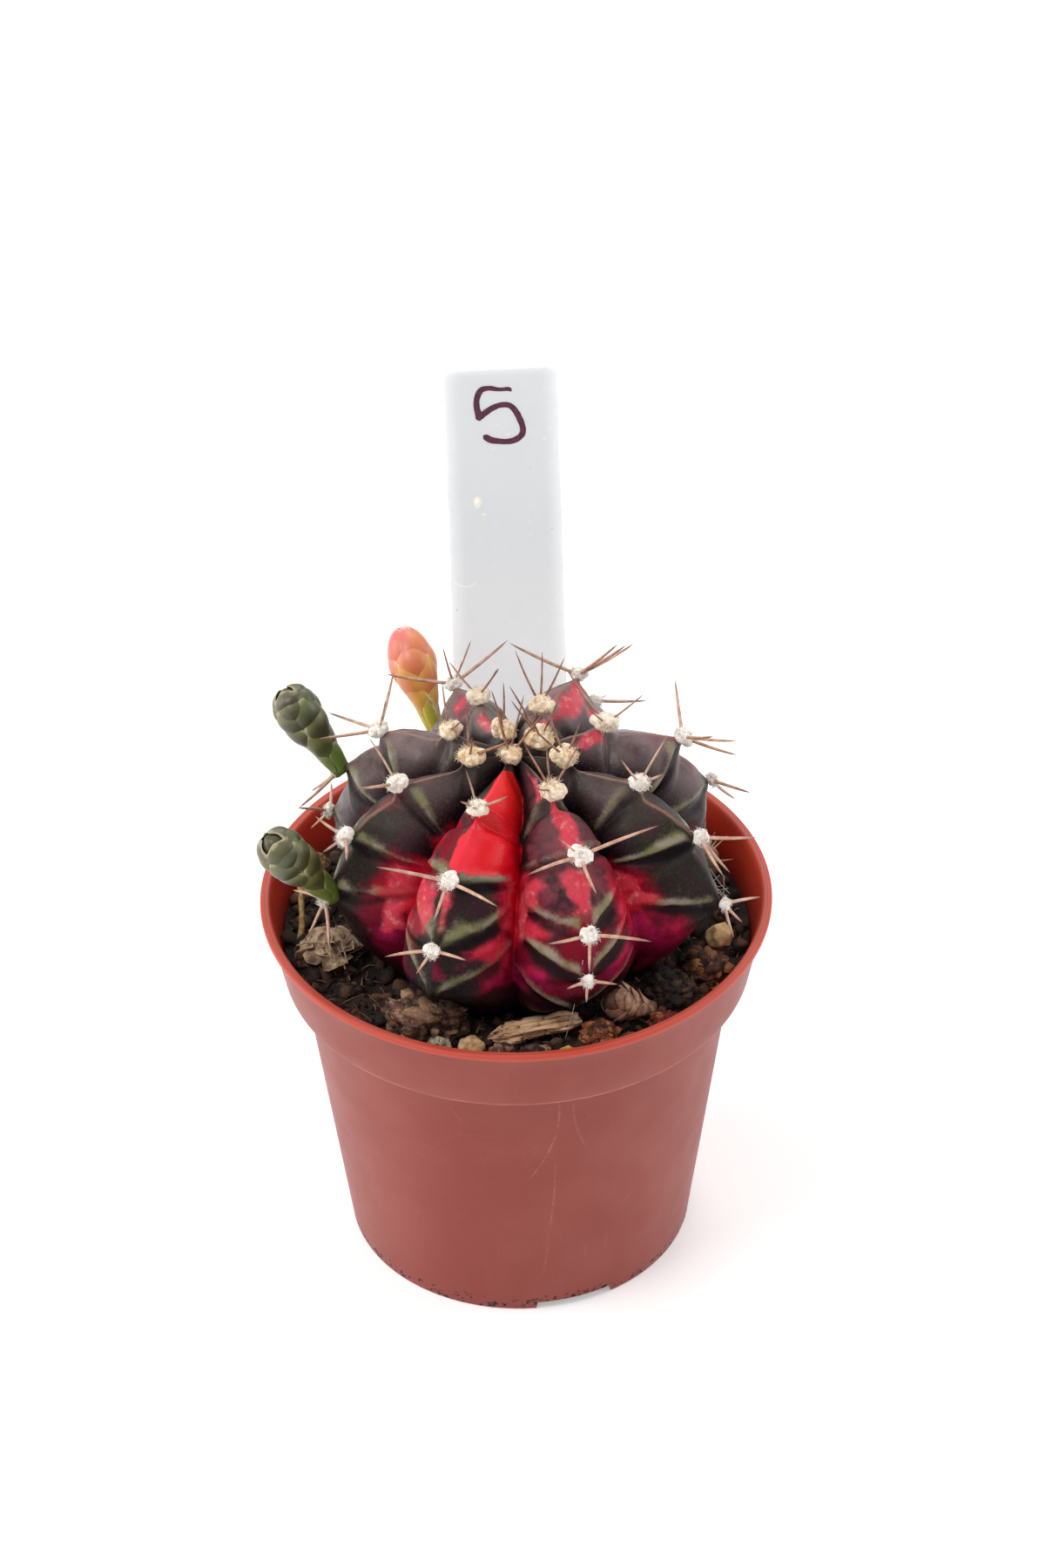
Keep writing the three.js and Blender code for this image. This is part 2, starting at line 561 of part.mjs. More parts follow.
function makeRoot(extra) {
  const profile = ROOT_PROFILE.map(([r, z]) => new THREE.Vector2(r > 0 ? r + extra : 0, z - extra));
  return solid(new THREE.LatheGeometry(profile.reverse(), 20).rotateX(Math.PI / 2));
}

function makeCactus(body) {
  const solids = [body, makeRoot(0)];
  for (const rib of RIBS) {
    const woolly = rib.areoles.slice(0, rib.areoles.length - (rib.bare ?? 0));
    for (const along of woolly) solids.push(...areoleSolids(rib, along));
  }
  return largest(wasm.Manifold.union(solids));
}

// ---------------------------------------------------------------- buds

// The height of the scales at a place on a bud, 0 between them and 1 at a scale's free edge.
// The scales stand in rows, each row turned by half a scale from the one below.
function scaleRelief(turn, share, rows) {
  let height = 0;
  for (let row = 0; row < rows; row += 1) {
    const up = (share - (SCALE_START + (row * SCALE_SPAN) / rows)) / SCALE_LENGTH;
    if (up <= 0 || up >= 1) continue;
    const pitch = (2 * Math.PI) / SCALES_PER_ROW;
    const across = turn / pitch + 0.5 * (row % 2);
    const aside = Math.abs(across - Math.round(across)) * 2;
    const halfWidth = 1.15 * Math.sqrt(1 - up ** 3);
    if (aside < halfWidth) height = Math.max(height, (0.35 + 0.65 * up) * (1 - (aside / halfWidth) ** 4));
  }
  return height;
}

// A stalk that swells into a head with a blunt tip.
function budRadius(share, stalkRadius, headRadius) {
  const swell = THREE.MathUtils.smoothstep(share, 0.12, 0.6);
  const close = Math.max(0, (share - 0.62) / 0.38);
  return THREE.MathUtils.lerp(stalkRadius, headRadius, swell) * Math.sqrt(1 - close ** 2.4);
}

// Overlapping scales raised on a swelling stalk, from its base towards its tip.
function scaledBud({ base, tip, stalkRadius, headRadius, rows, rings }) {
  const axis = tip.clone().sub(base);
  const length = axis.length();
  const positions = [0, -BUD_SINK, 0];
  const sides = 4 * SCALES_PER_ROW;
  for (let ring = 0; ring < rings; ring += 1) {
    const share = ring / rings;
    for (let i = 0; i < sides; i += 1) {
      const turn = (2 * Math.PI * i) / sides;
      const plain = budRadius(share, stalkRadius, headRadius);
      const radius = plain + SCALE_HEIGHT * (scaleRelief(turn, share, rows) - 0.6) * (plain / headRadius);
      positions.push(radius * Math.sin(turn), share * length - (ring ? 0 : BUD_SINK), radius * Math.cos(turn));
    }
  }
  positions.push(0, length, 0);
  return solid(standAlong(flipped(ringedGeometry(positions, rings, sides)), base, axis.normalize()));
}

function flipped(geometry) {
  const index = geometry.index.array;
  for (let i = 0; i < index.length; i += 3) [index[i], index[i + 1]] = [index[i + 1], index[i]];
  return geometry;
}

// ---------------------------------------------------------------- label

function makeLabel(extra) {
  const shape = new THREE.Shape(LABEL_OUTLINE.map(([x, y]) => new THREE.Vector2(x, y)));
  const depth = LABEL.thickness + 2 * extra;
  const sheet = new THREE.ExtrudeGeometry(shape, { depth, bevelEnabled: false });
  sheet.translate(0, 0, -depth / 2);
  sheet.scale(1 + extra / 9, 1 + extra / 28, 1);
  sheet.rotateX(Math.PI / 2 - radians(LABEL.lean));
  sheet.translate(0, LABEL.pivotY, LABEL.pivotZ);
  return solid(sheet);
}

// ---------------------------------------------------------------- things on the soil

function roughLump(half, rough, detail, seed) {
  const lump = new THREE.IcosahedronGeometry(1, detail);
  const position = lump.attributes.position;
  for (let i = 0; i < position.count; i += 1) {
    const p = new THREE.Vector3().fromBufferAttribute(position, i);
    p.multiplyScalar(1 + rough * noise(1.7 * p.x + seed, 1.7 * p.y, 1.7 * p.z));
    position.setXYZ(i, p.x, p.y, p.z);
  }
  lump.scale(...half);
  return lump;
}

function makeLump(lump, seed) {
  const geometry = roughLump(lump.half, lump.rough, lump.detail, seed);
  geometry.rotateZ(radians(lump.turn));
  geometry.translate(...lump.at);
  return solid(geometry);
}

// A long splinter of wood with ragged ends.
function makeWoodChip() {
  const { at, length, width, thickness, turn, tilt } = WOOD_CHIP;
  const chip = new THREE.BoxGeometry(length, width, thickness, 6, 2, 1);
  const position = chip.attributes.position;
  for (let i = 0; i < position.count; i += 1) {
    const p = new THREE.Vector3().fromBufferAttribute(position, i);
    const end = Math.abs(p.x) / (length / 2);
    const narrow = 1 - 0.35 * end ** 3 + 0.12 * noise(p.x / 2.5, 4.2, 1.1);
    p.y *= narrow;
    p.x += 0.9 * noise(p.y, 7.7, 2.4) * end;
    p.z += 0.35 * noise(p.x / 3, p.y, 5.5);
    position.setXYZ(i, p.x, p.y, p.z);
  }
  chip.rotateY(radians(-tilt));
  chip.rotateZ(radians(turn));
  chip.translate(...at);
  return solid(chip);
}

// One papery scale, thick in the middle and pointed at both ends.
function paperyScale(centre, along, out, length, width, thickness) {
  const scale = new THREE.SphereGeometry(0.5, 4, 2);
  scale.scale(width, length, thickness);
  const side = along.clone().cross(out).normalize();
  scale.applyMatrix4(new THREE.Matrix4().makeBasis(side, along, out));
  scale.translate(centre.x, centre.y, centre.z);
  return solid(scale);
}

// A dried flower: a low heap of papery scales that point up and outwards.
function makeDryFlower() {
  const { at, half, scales, scaleLength } = DRY_FLOWER;
  const centre = new THREE.Vector3(...at);
  const core = roughLump(half.map((size) => 0.72 * size), 0.15, 0, 5);
  core.translate(...at);
  const solids = [solid(core)];
  for (let i = 0; i < scales; i += 1) {
    const angle = i * 2.4;
    const reach = Math.sqrt((i + 0.5) / scales);
    const out = new THREE.Vector3(Math.cos(angle) * reach, Math.sin(angle) * reach, 1.05 - 0.6 * reach);
    out.normalize();
    const place = new THREE.Vector3(
      0.62 * half[0] * reach * Math.cos(angle),
      0.62 * half[1] * reach * Math.sin(angle),
      half[2] * 0.55,
    );
    const side = new THREE.Vector3(-Math.sin(angle), Math.cos(angle), 0);
    const face = side.clone().cross(out).normalize();
    solids.push(paperyScale(place.add(centre), out, face, scaleLength, 3.4, 1.2));
  }
  return wasm.Manifold.union(solids);
}

// A thin straw that leans on nothing but the soil it stands in.
function makeDryStalk() {
  const from = new THREE.Vector3(...DRY_STALK.from);
  const to = new THREE.Vector3(...DRY_STALK.to);
  const direction = to.clone().sub(from);
  const length = direction.length();
  const straw = new THREE.CylinderGeometry(DRY_STALK.radius, DRY_STALK.radius * 1.3, length, 6, 1);
  straw.translate(0, length / 2, 0);
  const tip = new THREE.IcosahedronGeometry(1.15, 0);
  tip.translate(0, length, 0);
  const solids = [straw, tip].map((part) => solid(standAlong(part, from, direction.clone().normalize())));
  return wasm.Manifold.union(solids);
}

// A small dry offset with short pale spines.
function makeDryOffset() {
  const { at, half, spines, spineLength } = DRY_OFFSET;
  const centre = new THREE.Vector3(...at);
  const globe = roughLump(half, 0.12, 1, 11);
  globe.translate(...at);
  const solids = [solid(globe)];
  for (let i = 0; i < spines; i += 1) {
    const height = 0.05 + (0.9 * (i + 0.5)) / spines;
    const angle = i * 2.4;
    const flat = Math.sqrt(1 - height * height);
    const out = new THREE.Vector3(flat * Math.cos(angle), flat * Math.sin(angle), height);
    const place = out.clone().multiply(new THREE.Vector3(...half)).multiplyScalar(0.9).add(centre);
    solids.push(makeSpine(place, out, new THREE.Vector3(0, 0, 1), spineLength, 0.35));
  }
  return wasm.Manifold.union(solids);
}

// ---------------------------------------------------------------- assembly

const bodySkin = bodyGeometry();
const body = solid(bodySkin);
const bodyRoom = solid(grown(bodySkin, 0.55));
const soilRoom = makeSoil(GAP);

// A loose piece, cut to lie on the soil and against the plant with a clear gap.
const bedded = (piece) => largest(piece.subtract(soilRoom).subtract(bodyRoom));

const soil = makeSoil(0).subtract(bodyRoom).subtract(makeRoot(GAP)).subtract(makeLabel(GAP));
addPiece('pot', makePot(), 0xa0564a, 0.42);
addPiece('soil', largest(soil), 0x2c211b, 0.95);
addPiece('cactus', makeCactus(body), 0x5b3038, 0.5);
for (const bud of BUDS) {
  const whole = scaledBud({ ...bud, base: polar(...bud.base), tip: polar(...bud.tip) });
  const rib = RIBS.find((each) => each.name === bud.rib);
  const wool = woolTuft(rib, rib.areoles[bud.areole], 0.8, 1);
  addPiece(bud.name, largest(whole.subtract(bodyRoom).subtract(wool)), bud.colour, 0.5);
}
addPiece('plant_label', makeLabel(0), 0xdfe3e6, 0.45);
LUMPS.forEach((lump, i) => addPiece(lump.name, bedded(makeLump(lump, 3 * i)), lump.colour, 0.85));
addPiece('wood_chip', bedded(makeWoodChip()), 0x8a6a4a, 0.85);
const scalyBud = scaledBud({
  base: new THREE.Vector3(...DRY_SCALY_BUD.from),
  tip: new THREE.Vector3(...DRY_SCALY_BUD.to),
  stalkRadius: DRY_SCALY_BUD.radius * 0.75,
  headRadius: DRY_SCALY_BUD.radius,
  rows: 3,
  rings: 10,
});
addPiece('dry_scaly_bud', bedded(scalyBud), 0x6e4a36, 0.85);
addPiece('dry_flower', bedded(makeDryFlower()), 0x9a8672, 0.9);
addPiece('dry_stalk', bedded(makeDryStalk()), 0xb09a5a, 0.8);
addPiece('dry_offset', bedded(makeDryOffset()), 0x6d6f58, 0.85);

export default group;
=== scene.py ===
# %% [markdown]
# # A potted moon cactus, built step by step
# This lesson dresses a measured model of a small potted cactus. The solids come from a CAD file and
# are loaded as a fixed frame in metres, with the origin on the ground below the middle of the pot.
# Each step replaces one solid by a finer mesh of the same form, or gives it a finish, so that the
# picture looks like the plant while the sizes stay those of the CAD model.

# %% Load the frame
import math

import bmesh
import bpy
import numpy as np
from mathutils import Matrix, Vector


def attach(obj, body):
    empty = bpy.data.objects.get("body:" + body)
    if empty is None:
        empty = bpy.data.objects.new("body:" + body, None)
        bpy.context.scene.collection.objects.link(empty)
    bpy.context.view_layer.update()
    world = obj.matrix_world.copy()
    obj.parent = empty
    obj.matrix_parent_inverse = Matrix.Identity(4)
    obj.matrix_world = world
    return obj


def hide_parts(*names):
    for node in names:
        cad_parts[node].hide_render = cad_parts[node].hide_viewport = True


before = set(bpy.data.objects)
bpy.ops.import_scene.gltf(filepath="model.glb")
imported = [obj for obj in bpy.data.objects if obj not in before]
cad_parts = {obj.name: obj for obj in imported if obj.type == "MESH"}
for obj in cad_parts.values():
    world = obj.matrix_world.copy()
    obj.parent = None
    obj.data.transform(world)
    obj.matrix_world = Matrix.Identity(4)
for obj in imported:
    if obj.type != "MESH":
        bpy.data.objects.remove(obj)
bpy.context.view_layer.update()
MM = 0.001

# %% [markdown]
# ## The camera
# The plant was seen from above at about 37 degrees through a long lens from 0.9 m away. The place
# and the tilt were solved from the ellipses of the pot's rim and foot, so the camera is set from
# numbers and isn't aimed by hand. It rolls by less than a degree.

# %% Camera
LENS_MM, FILM_MM = 120.0, 36.0
CAMERA_AT = np.array([0.0, -678.2, 607.9]) * MM
YAW, PITCH, ROLL = math.radians(0.112), math.radians(37.386), math.radians(-0.801)


def camera_axes():
    """The camera's right, up and back directions, as the columns of a turn."""
    level = math.cos(PITCH)
    ahead = Vector((math.sin(YAW) * level, math.cos(YAW) * level, -math.sin(PITCH)))
    right = ahead.cross(Vector((0, 0, 1))).normalized()
    up = right.cross(ahead)
    x = right * math.cos(ROLL) + up * math.sin(ROLL)
    y = up * math.cos(ROLL) - right * math.sin(ROLL)
    return Matrix((x, y, -ahead)).transposed()


lens = bpy.data.cameras.new("camera")
lens.sensor_fit = "VERTICAL"
lens.sensor_height = FILM_MM
lens.lens = LENS_MM
lens.clip_start, lens.clip_end = 0.05, 20
camera = bpy.data.objects.new("camera", lens)
bpy.context.scene.collection.objects.link(camera)
camera.matrix_world = Matrix.Translation(Vector(CAMERA_AT)) @ camera_axes().to_4x4()
bpy.context.scene.camera = camera
print("camera at", [round(v, 3) for v in camera.location], "lens", LENS_MM)

# %% [markdown]
# ## Numbers that repeat
# A plant looks grown because nothing in it repeats exactly. All the chance in this file comes from
# one small hash of whole numbers, so every run gives the same plant. Noise is that hash, blended
# smoothly between the corners of a lattice. The CAD model uses the same two functions, which is why
# the soil and the lumps here have the same hills as its solids.

# %% Draws and noise
def draw(i, j, k):
    """Repeatable numbers in 0..1 from three whole numbers or arrays of them."""
    i, j, k = (np.asarray(v).astype(np.int64) & 0xFFFFFFFF for v in (i, j, k))
    wrap = lambda v: v & 0xFFFFFFFF
    h = wrap(wrap(i + 1013) * 374761393) ^ wrap(wrap(j + 7919) * 668265263)
    h = wrap(wrap(h ^ (h >> 13)) * 1274126177) ^ wrap(wrap(k + 101) * 2246822519)
    h = wrap(wrap(h ^ (h >> 15)) * 3266489917)
    return (h ^ (h >> 16)) / 4294967296.0


def noise(x, y, z):
    """Smooth noise in -1..1 over space, for arrays."""
    x, y, z = np.broadcast_arrays(*(np.asarray(v, float) for v in (x, y, z)))
    cells = [np.floor(v) for v in (x, y, z)]
    parts = [v - c for v, c in zip((x, y, z), cells)]
    ease = [p * p * (3 - 2 * p) for p in parts]
    total = np.zeros(x.shape)
    for a in (0, 1):
        for b in (0, 1):
            for c in (0, 1):
                weight = np.ones(x.shape)
                for side, e in zip((a, b, c), ease):
                    weight = weight * (e if side else 1 - e)
                total += weight * draw(cells[0] + a, cells[1] + b, cells[2] + c)
    return 2 * total - 1


def layered(points, size, seed=0.0, count=3):
    """Noise in several sizes, each half as large and half as strong as the one before."""
    x, y, z = np.asarray(points, float).T
    total = 0
    for n in range(count):
        step = size / 2**n
        total = total + noise(x / step + seed, y / step, z / step + 7 * n) / 2**n
    return total


def smoothstep(x, low, high):
    """0 at low, 1 at high and smooth between. Low may be above high."""
    t = np.clip((np.asarray(x, float) - low) / (high - low), 0, 1)
    return t * t * (3 - 2 * t)


def polar(azimuth, radius, z):
    """A point in mm from degrees round the pot, 0 at the front and 90 at the right."""
    turn = np.radians(azimuth)
    return np.stack(np.broadcast_arrays(radius * np.sin(turn), -radius * np.cos(turn), z), -1)


def turned(points, degrees):
    """Points turned about Z."""
    turn = math.radians(degrees)
    c, s = math.cos(turn), math.sin(turn)
    return points @ np.array([[c, s, 0], [-s, c, 0], [0, 0, 1]])


def unit(vectors):
    """Vectors made one long."""
    vectors = np.asarray(vectors, float)
    return vectors / np.linalg.norm(vectors, axis=-1, keepdims=True)


def far_along(points):
    """How far each point of a line lies from its start, measured along the line."""
    steps = np.linalg.norm(np.diff(points, axis=0), axis=1)
    return np.concatenate([[0], np.cumsum(steps)])


print("first draws:", np.round(draw(np.arange(3), 0, 0), 3))

# %% [markdown]
# ## Writing shader maths as Python
# A finish is a graph of shader nodes, and sums in it are easier to read as sums. `Wire` wraps one
# socket and turns Python's operators into Math nodes, also with a number on the left, as in
# `1 - mask`. `Finish` owns one material. Its `node` method makes any node from its type, its
# settings and its inputs, and `paint` lays one colour over another in turn, as a painter does.
# Sizes are given in millimetres, because the plant is measured so.

# %% Wire and Finish
class Wire:
    """A socket of a shader node that can stand in Python expressions."""

    def __init__(self, finish, socket):
        self.finish, self.socket = finish, socket

    def maths(self, operation, *values):
        return self.finish.node("ShaderNodeMath", {"operation": operation}, list(values))

    def __add__(self, other):
        return self.maths("ADD", self, other)

    def __mul__(self, other):
        return self.maths("MULTIPLY", self, other)

    def __sub__(self, other):
        return self.maths("SUBTRACT", self, other)

    def __rsub__(self, other):
        return self.maths("SUBTRACT", other, self)

    def __truediv__(self, other):
        return self.maths("DIVIDE", self, other)

    def __abs__(self):
        return self.maths("ABSOLUTE", self)

    __radd__, __rmul__ = __add__, __mul__

    def rise(self, low, high):
        """0 below low, 1 above high, and smooth between. It falls where low is above high."""
        if low > high:
            return 1 - self.rise(high, low)
        settings = {"interpolation_type": "SMOOTHSTEP"}
        return self.finish.node("ShaderNodeMapRange", settings, [self, low, high, 0.0, 1.0])


class Finish:
    """One material, with its surface shader and the place on the object in millimetres."""

    def __init__(self, name):
        self.material = bpy.data.materials.new(name)
        self.material.use_nodes = True
        self.tree = self.material.node_tree
        self.shader = self.tree.nodes["Principled BSDF"]
        metres = self.node("ShaderNodeTexCoord", out="Object")
        scale = {"operation": "SCALE"}
        self.place = self.node("ShaderNodeVectorMath", scale, {0: metres, "Scale": 1 / MM})

    def node(self, kind, settings=None, inputs=None, out=0):
        """Any node, fed with numbers or wires. Out is the socket that it's used for."""
        made = self.tree.nodes.new(kind)
        for name, value in (settings or {}).items():
            setattr(made, name, value)
        pairs = enumerate(inputs) if isinstance(inputs, list) else (inputs or {}).items()
        for key, value in pairs:
            self.feed(made.inputs[key], value)
        return Wire(self, made.outputs[out])

    def feed(self, socket, value):
        if isinstance(value, Wire):
            self.tree.links.new(value.socket, socket)
        else:
            socket.default_value = value

    def vector(self, operation, *values, out=0):
        return self.node("ShaderNodeVectorMath", {"operation": operation}, list(values), out)

    def axis(self, name):
        """The place along X, Y or Z in mm."""
        return self.node("ShaderNodeSeparateXYZ", {}, [self.place], name)

    def cloud(self, size, detail=2.0, rough=0.5, stretch=None, seed=0.0):
        """Noise in 0..1 whose lumps are about size mm. Stretch makes them longer on an axis."""
        at = self.place
        if stretch:
            at = self.vector("DIVIDE", at, stretch)
        if seed:
            at = self.vector("ADD", at, (seed, 2 * seed, -seed))
        return self.node("ShaderNodeTexNoise", {}, {
            "Vector": at, "Scale": 1 / size, "Detail": detail, "Roughness": rough})

    def cells(self, size, feature="F1"):
        """The distance in cells of about size mm, from a point or from the cell's edge."""
        return self.node("ShaderNodeTexVoronoi", {"feature": feature}, {
            "Vector": self.place, "Scale": 1 / size, "Randomness": 1.0}, "Distance")

    def mix(self, amount, first, second):
        """A colour between two colours."""
        settings = {"data_type": "RGBA", "blend_type": "MIX"}
        return self.node("ShaderNodeMix", settings, {0: amount, 6: first, 7: second}, 2)

    def paint(self, colour, *layers):
        """A colour with others laid over it in turn, each given as (amount, colour)."""
        for amount, over in layers:
            colour = self.mix(amount, colour, over)
        return colour

    def stored(self, name):
        """A value that was stored on the mesh when it was built."""
        return self.node("ShaderNodeAttribute", {"attribute_name": name}, out="Fac")

    def bump(self, height, depth):
        """The normal of a surface that height, in 0..1, raises by up to depth mm."""
        return self.node("ShaderNodeBump", {}, {
            "Height": height, "Distance": depth * MM, "Strength": 1.0})

    def surface(self, **values):
        """Feeds the surface shader. Names are those of its sockets, with _ for a space."""
        for key, value in values.items():
            self.feed(self.shader.inputs[key.replace("_", " ")], value)
        return self.material


def srgb(red, green, blue):
    """A colour as it looks on a screen, 0..255, in the linear light that shaders use."""
    return (*((v / 255 / 12.92) if v <= 10 else ((v / 255 + 0.055) / 1.055) ** 2.4
              for v in (red, green, blue)), 1.0)


print("white is", srgb(255, 255, 255))

# %% [markdown]
# ## From numbers to a piece
# Every mesh here is worked out as arrays in millimetres and turned into an object at the end.
# One function does that: it hides the CAD node that the piece replaces, gives the piece its finish
# and fixes it to the body that it moves with. This plant has no joints, so there is one body, called
# root. `Heap` gathers many small meshes into one piece, and most of them are balls, tubes, rings of
# points or thin shells.

# %% Making a piece
piece_faces = {}


def make_mesh(name, points, faces, values=None):
    """A smooth mesh from points in mm, with values stored on its points by name."""
    mesh = bpy.data.meshes.new(name)
    mesh.from_pydata((np.asarray(points, float) * MM).tolist(), [], faces)
    mesh.validate()
    mesh.polygons.foreach_set("use_smooth", np.ones(len(mesh.polygons), bool))
    for key, numbers in (values or {}).items():
        layer = mesh.attributes.new(key, "FLOAT", "POINT")
        layer.data.foreach_set("value", np.asarray(numbers, np.float32))
    mesh.update()
    return mesh


def add_object(name, data):
    """An object in the scene that holds a mesh, a lamp or a camera."""
    made = bpy.data.objects.new(name, data)
    bpy.context.scene.collection.objects.link(made)
    return made


def finish_piece(name, mesh, finish, node):
    """A mesh as a piece of the object, in place of a CAD node."""
    mesh.materials.clear()
    mesh.materials.append(finish)
    piece = add_object(name, mesh)
    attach(piece, "root")
    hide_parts(node)
    piece_faces[name] = len(mesh.polygons)


class Heap:
    """Several meshes gathered into one, with values for their points."""

    def __init__(self):
        self.points, self.faces, self.values, self.count = [], [], {}, 0

    def add(self, points, faces, **values):
        points = np.asarray(points, float)
        self.points.append(points)
        self.faces.extend([tuple(int(v) + self.count for v in face) for face in faces])
        for key, numbers in values.items():
            self.values.setdefault(key, []).append(np.broadcast_to(numbers, len(points)))
        self.count += len(points)

    def add_tube(self, path, radius, sides, **values):
        """One tube along a path, with one radius or a radius at each of its points."""
        points, faces, _ = tubes(path[None], np.broadcast_to(radius, len(path))[None], sides)
        self.add(points, faces, **values)

    def mesh(self, name):
        values = {key: np.concatenate(parts) for key, parts in self.values.items()}
        return make_mesh(name, np.concatenate(self.points), self.faces, values)


def ball(detail):
    """An icosphere as points and faces."""
    made = bmesh.new()
    bmesh.ops.create_icosphere(made, subdivisions=detail, radius=1)
    points = np.array([v.co for v in made.verts])
    faces = [tuple(v.index for v in face.verts) for face in made.faces]
    made.free()
    return points, faces


def ring_faces(rings, sides):
    """The faces between rings of points, closed by a first and a last point."""
    at = lambda ring, side: 1 + ring * sides + side % sides
    last = 1 + rings * sides
    faces = []
    for side in range(sides):
        faces.append((0, at(0, side), at(0, side + 1)))
        for ring in range(rings - 1):
            near, far = at(ring, side), at(ring + 1, side)
            faces.append((near, far, at(ring + 1, side + 1), at(ring, side + 1)))
        faces.append((at(rings - 1, side), last, at(rings - 1, side + 1)))
    return faces


def tubes(paths, radii, sides):
    """Round tubes along many paths at once: paths is (tubes, steps, 3), radii (tubes, steps).
    The third result says how far along its tube each point lies, 0..1."""
    count, steps = radii.shape
    way = unit(np.gradient(paths, axis=1))
    helper = np.where(np.abs(way[:, :1, 2:]) < 0.9, [[[0.0, 0.0, 1.0]]], [[[1.0, 0.0, 0.0]]])
    across = unit(np.cross(way, helper))
    over = np.cross(way, across)
    turn = np.arange(sides) * 2 * np.pi / sides
    ring = across[:, :, None] * np.cos(turn)[:, None] + over[:, :, None] * np.sin(turn)[:, None]
    points = paths[:, :, None] + ring * radii[:, :, None, None]
    faces = []
    for tube in range(count):
        start = tube * steps * sides
        for step in range(steps - 1):
            for side in range(sides):
                low, high = start + step * sides, start + (step + 1) * sides
                other = (side + 1) % sides
                faces.append((low + side, low + other, high + other, high + side))
        faces.append(tuple(start + side for side in reversed(range(sides))))
        faces.append(tuple(start + (steps - 1) * sides + side for side in range(sides)))
    share = np.broadcast_to(np.linspace(0, 1, steps)[None, :, None], (count, steps, sides)).ravel()
    return points.reshape(-1, 3), faces, share


print("a ring mesh of 3 by 8 has", len(ring_faces(3, 8)), "faces")

# %% [markdown]
# ## The pot
# A nursery pot is moulded in one shot from thin red-brown plastic: a wall that narrows downwards, a
# wider band at the top with a small step below it, a rounded lip, and a foot ring with three
# notches so that water drains off. A turned profile gives all of that, and the notches and drain
# holes are cut by three boxes and three rods. Each corner of the profile gets its own radius.

# %% Pot shape
POT_PROFILE = [  # radius and height: the floor from below, the outside, the lip, then the inside
    (0, 2), (26.9, 2), (26.9, 0), (29.1, 0), (36.25, 54.1), (39.1, 54.1), (41.5, 66.0), (42.5, 66.2),
    (42.5, 67.2), (41.0, 67.2), (40.55, 66.0), (38.34, 55.05), (35.4, 55.05), (28.57, 3.2), (0, 3.2),
]
CORNER_MM = [0, .3, .35, .35, .3, .35, .3, .25, .45, .4, .3, .3, .3, .4, 0]
POT_SIDES, ROD_SIDES, SPACING, SHARP_ANGLE = 180, 40, 3.0, 35
NOTCH_HALF, NOTCH_TOP, NOTCH_NARROWING, NOTCHES_AT = 7.0, 1.6, 0.93, (18, 138, 258)
NOTCH_INNER, NOTCH_OUTER, BELOW = -25.4, -32, -2
DRAIN_RADIUS, DRAIN_RING, DRAIN_TOP, DRAINS_AT = 3, 17, 6, (-42, 78, 198)


def rounded(profile, radii, steps=4):
    """A profile with each corner replaced by a short bend."""
    points = [np.array(profile[0], float)]
    for before, corner, after, radius in zip(profile, profile[1:], profile[2:], radii[1:]):
        before, corner, after = (np.array(p, float) for p in (before, corner, after))
        start = corner + unit(before - corner) * min(radius, 0.45 * np.linalg.norm(before - corner))
        end = corner + unit(after - corner) * min(radius, 0.45 * np.linalg.norm(after - corner))
        for t in np.linspace(0, 1, steps):
            points.append((1 - t) ** 2 * start + 2 * t * (1 - t) * corner + t * t * end)
    return points + [np.array(profile[-1], float)]


def spaced(points, most):
    """More points wherever two neighbours are further apart than most."""
    out = [points[0]]
    for a, b in zip(points, points[1:]):
        count = max(1, int(np.ceil(np.linalg.norm(b - a) / most)))
        out.extend(a + (b - a) * n / count for n in range(1, count + 1))
    return np.array(out)


def lathe(profile, sides):
    """A closed body of revolution about Z. The profile starts and ends on the axis."""
    turn = np.arange(sides) * 360 / sides
    rings = [polar(turn, r, z) for r, z in profile[1:-1]]
    return np.concatenate([[[0, 0, profile[0][1]]], *rings, [[0, 0, profile[-1][1]]]])


def turned_faces(rings, sides):
    """The faces of a lathed body, seen from outside."""
    return [tuple(reversed(face)) for face in ring_faces(rings, sides)]


def cut(mesh, cutters):
    """A mesh with others cut out of it."""
    whole, tool = add_object("whole", mesh), add_object("tool", cutters)
    step = whole.modifiers.new("cut", "BOOLEAN")
    step.operation, step.object, step.solver = "DIFFERENCE", tool, "EXACT"
    bpy.context.view_layer.update()
    seen = whole.evaluated_get(bpy.context.evaluated_depsgraph_get())
    result = bpy.data.meshes.new_from_object(seen)
    bpy.data.objects.remove(whole)
    bpy.data.objects.remove(tool)
    return result


def shade_by_angle(mesh, degrees):
    """Smooth shading, with the edges that turn by more than some degrees kept sharp."""
    mesh.polygons.foreach_set("use_smooth", np.ones(len(mesh.polygons), bool))
    mesh.set_sharp_from_angle(angle=math.radians(degrees))
    return mesh


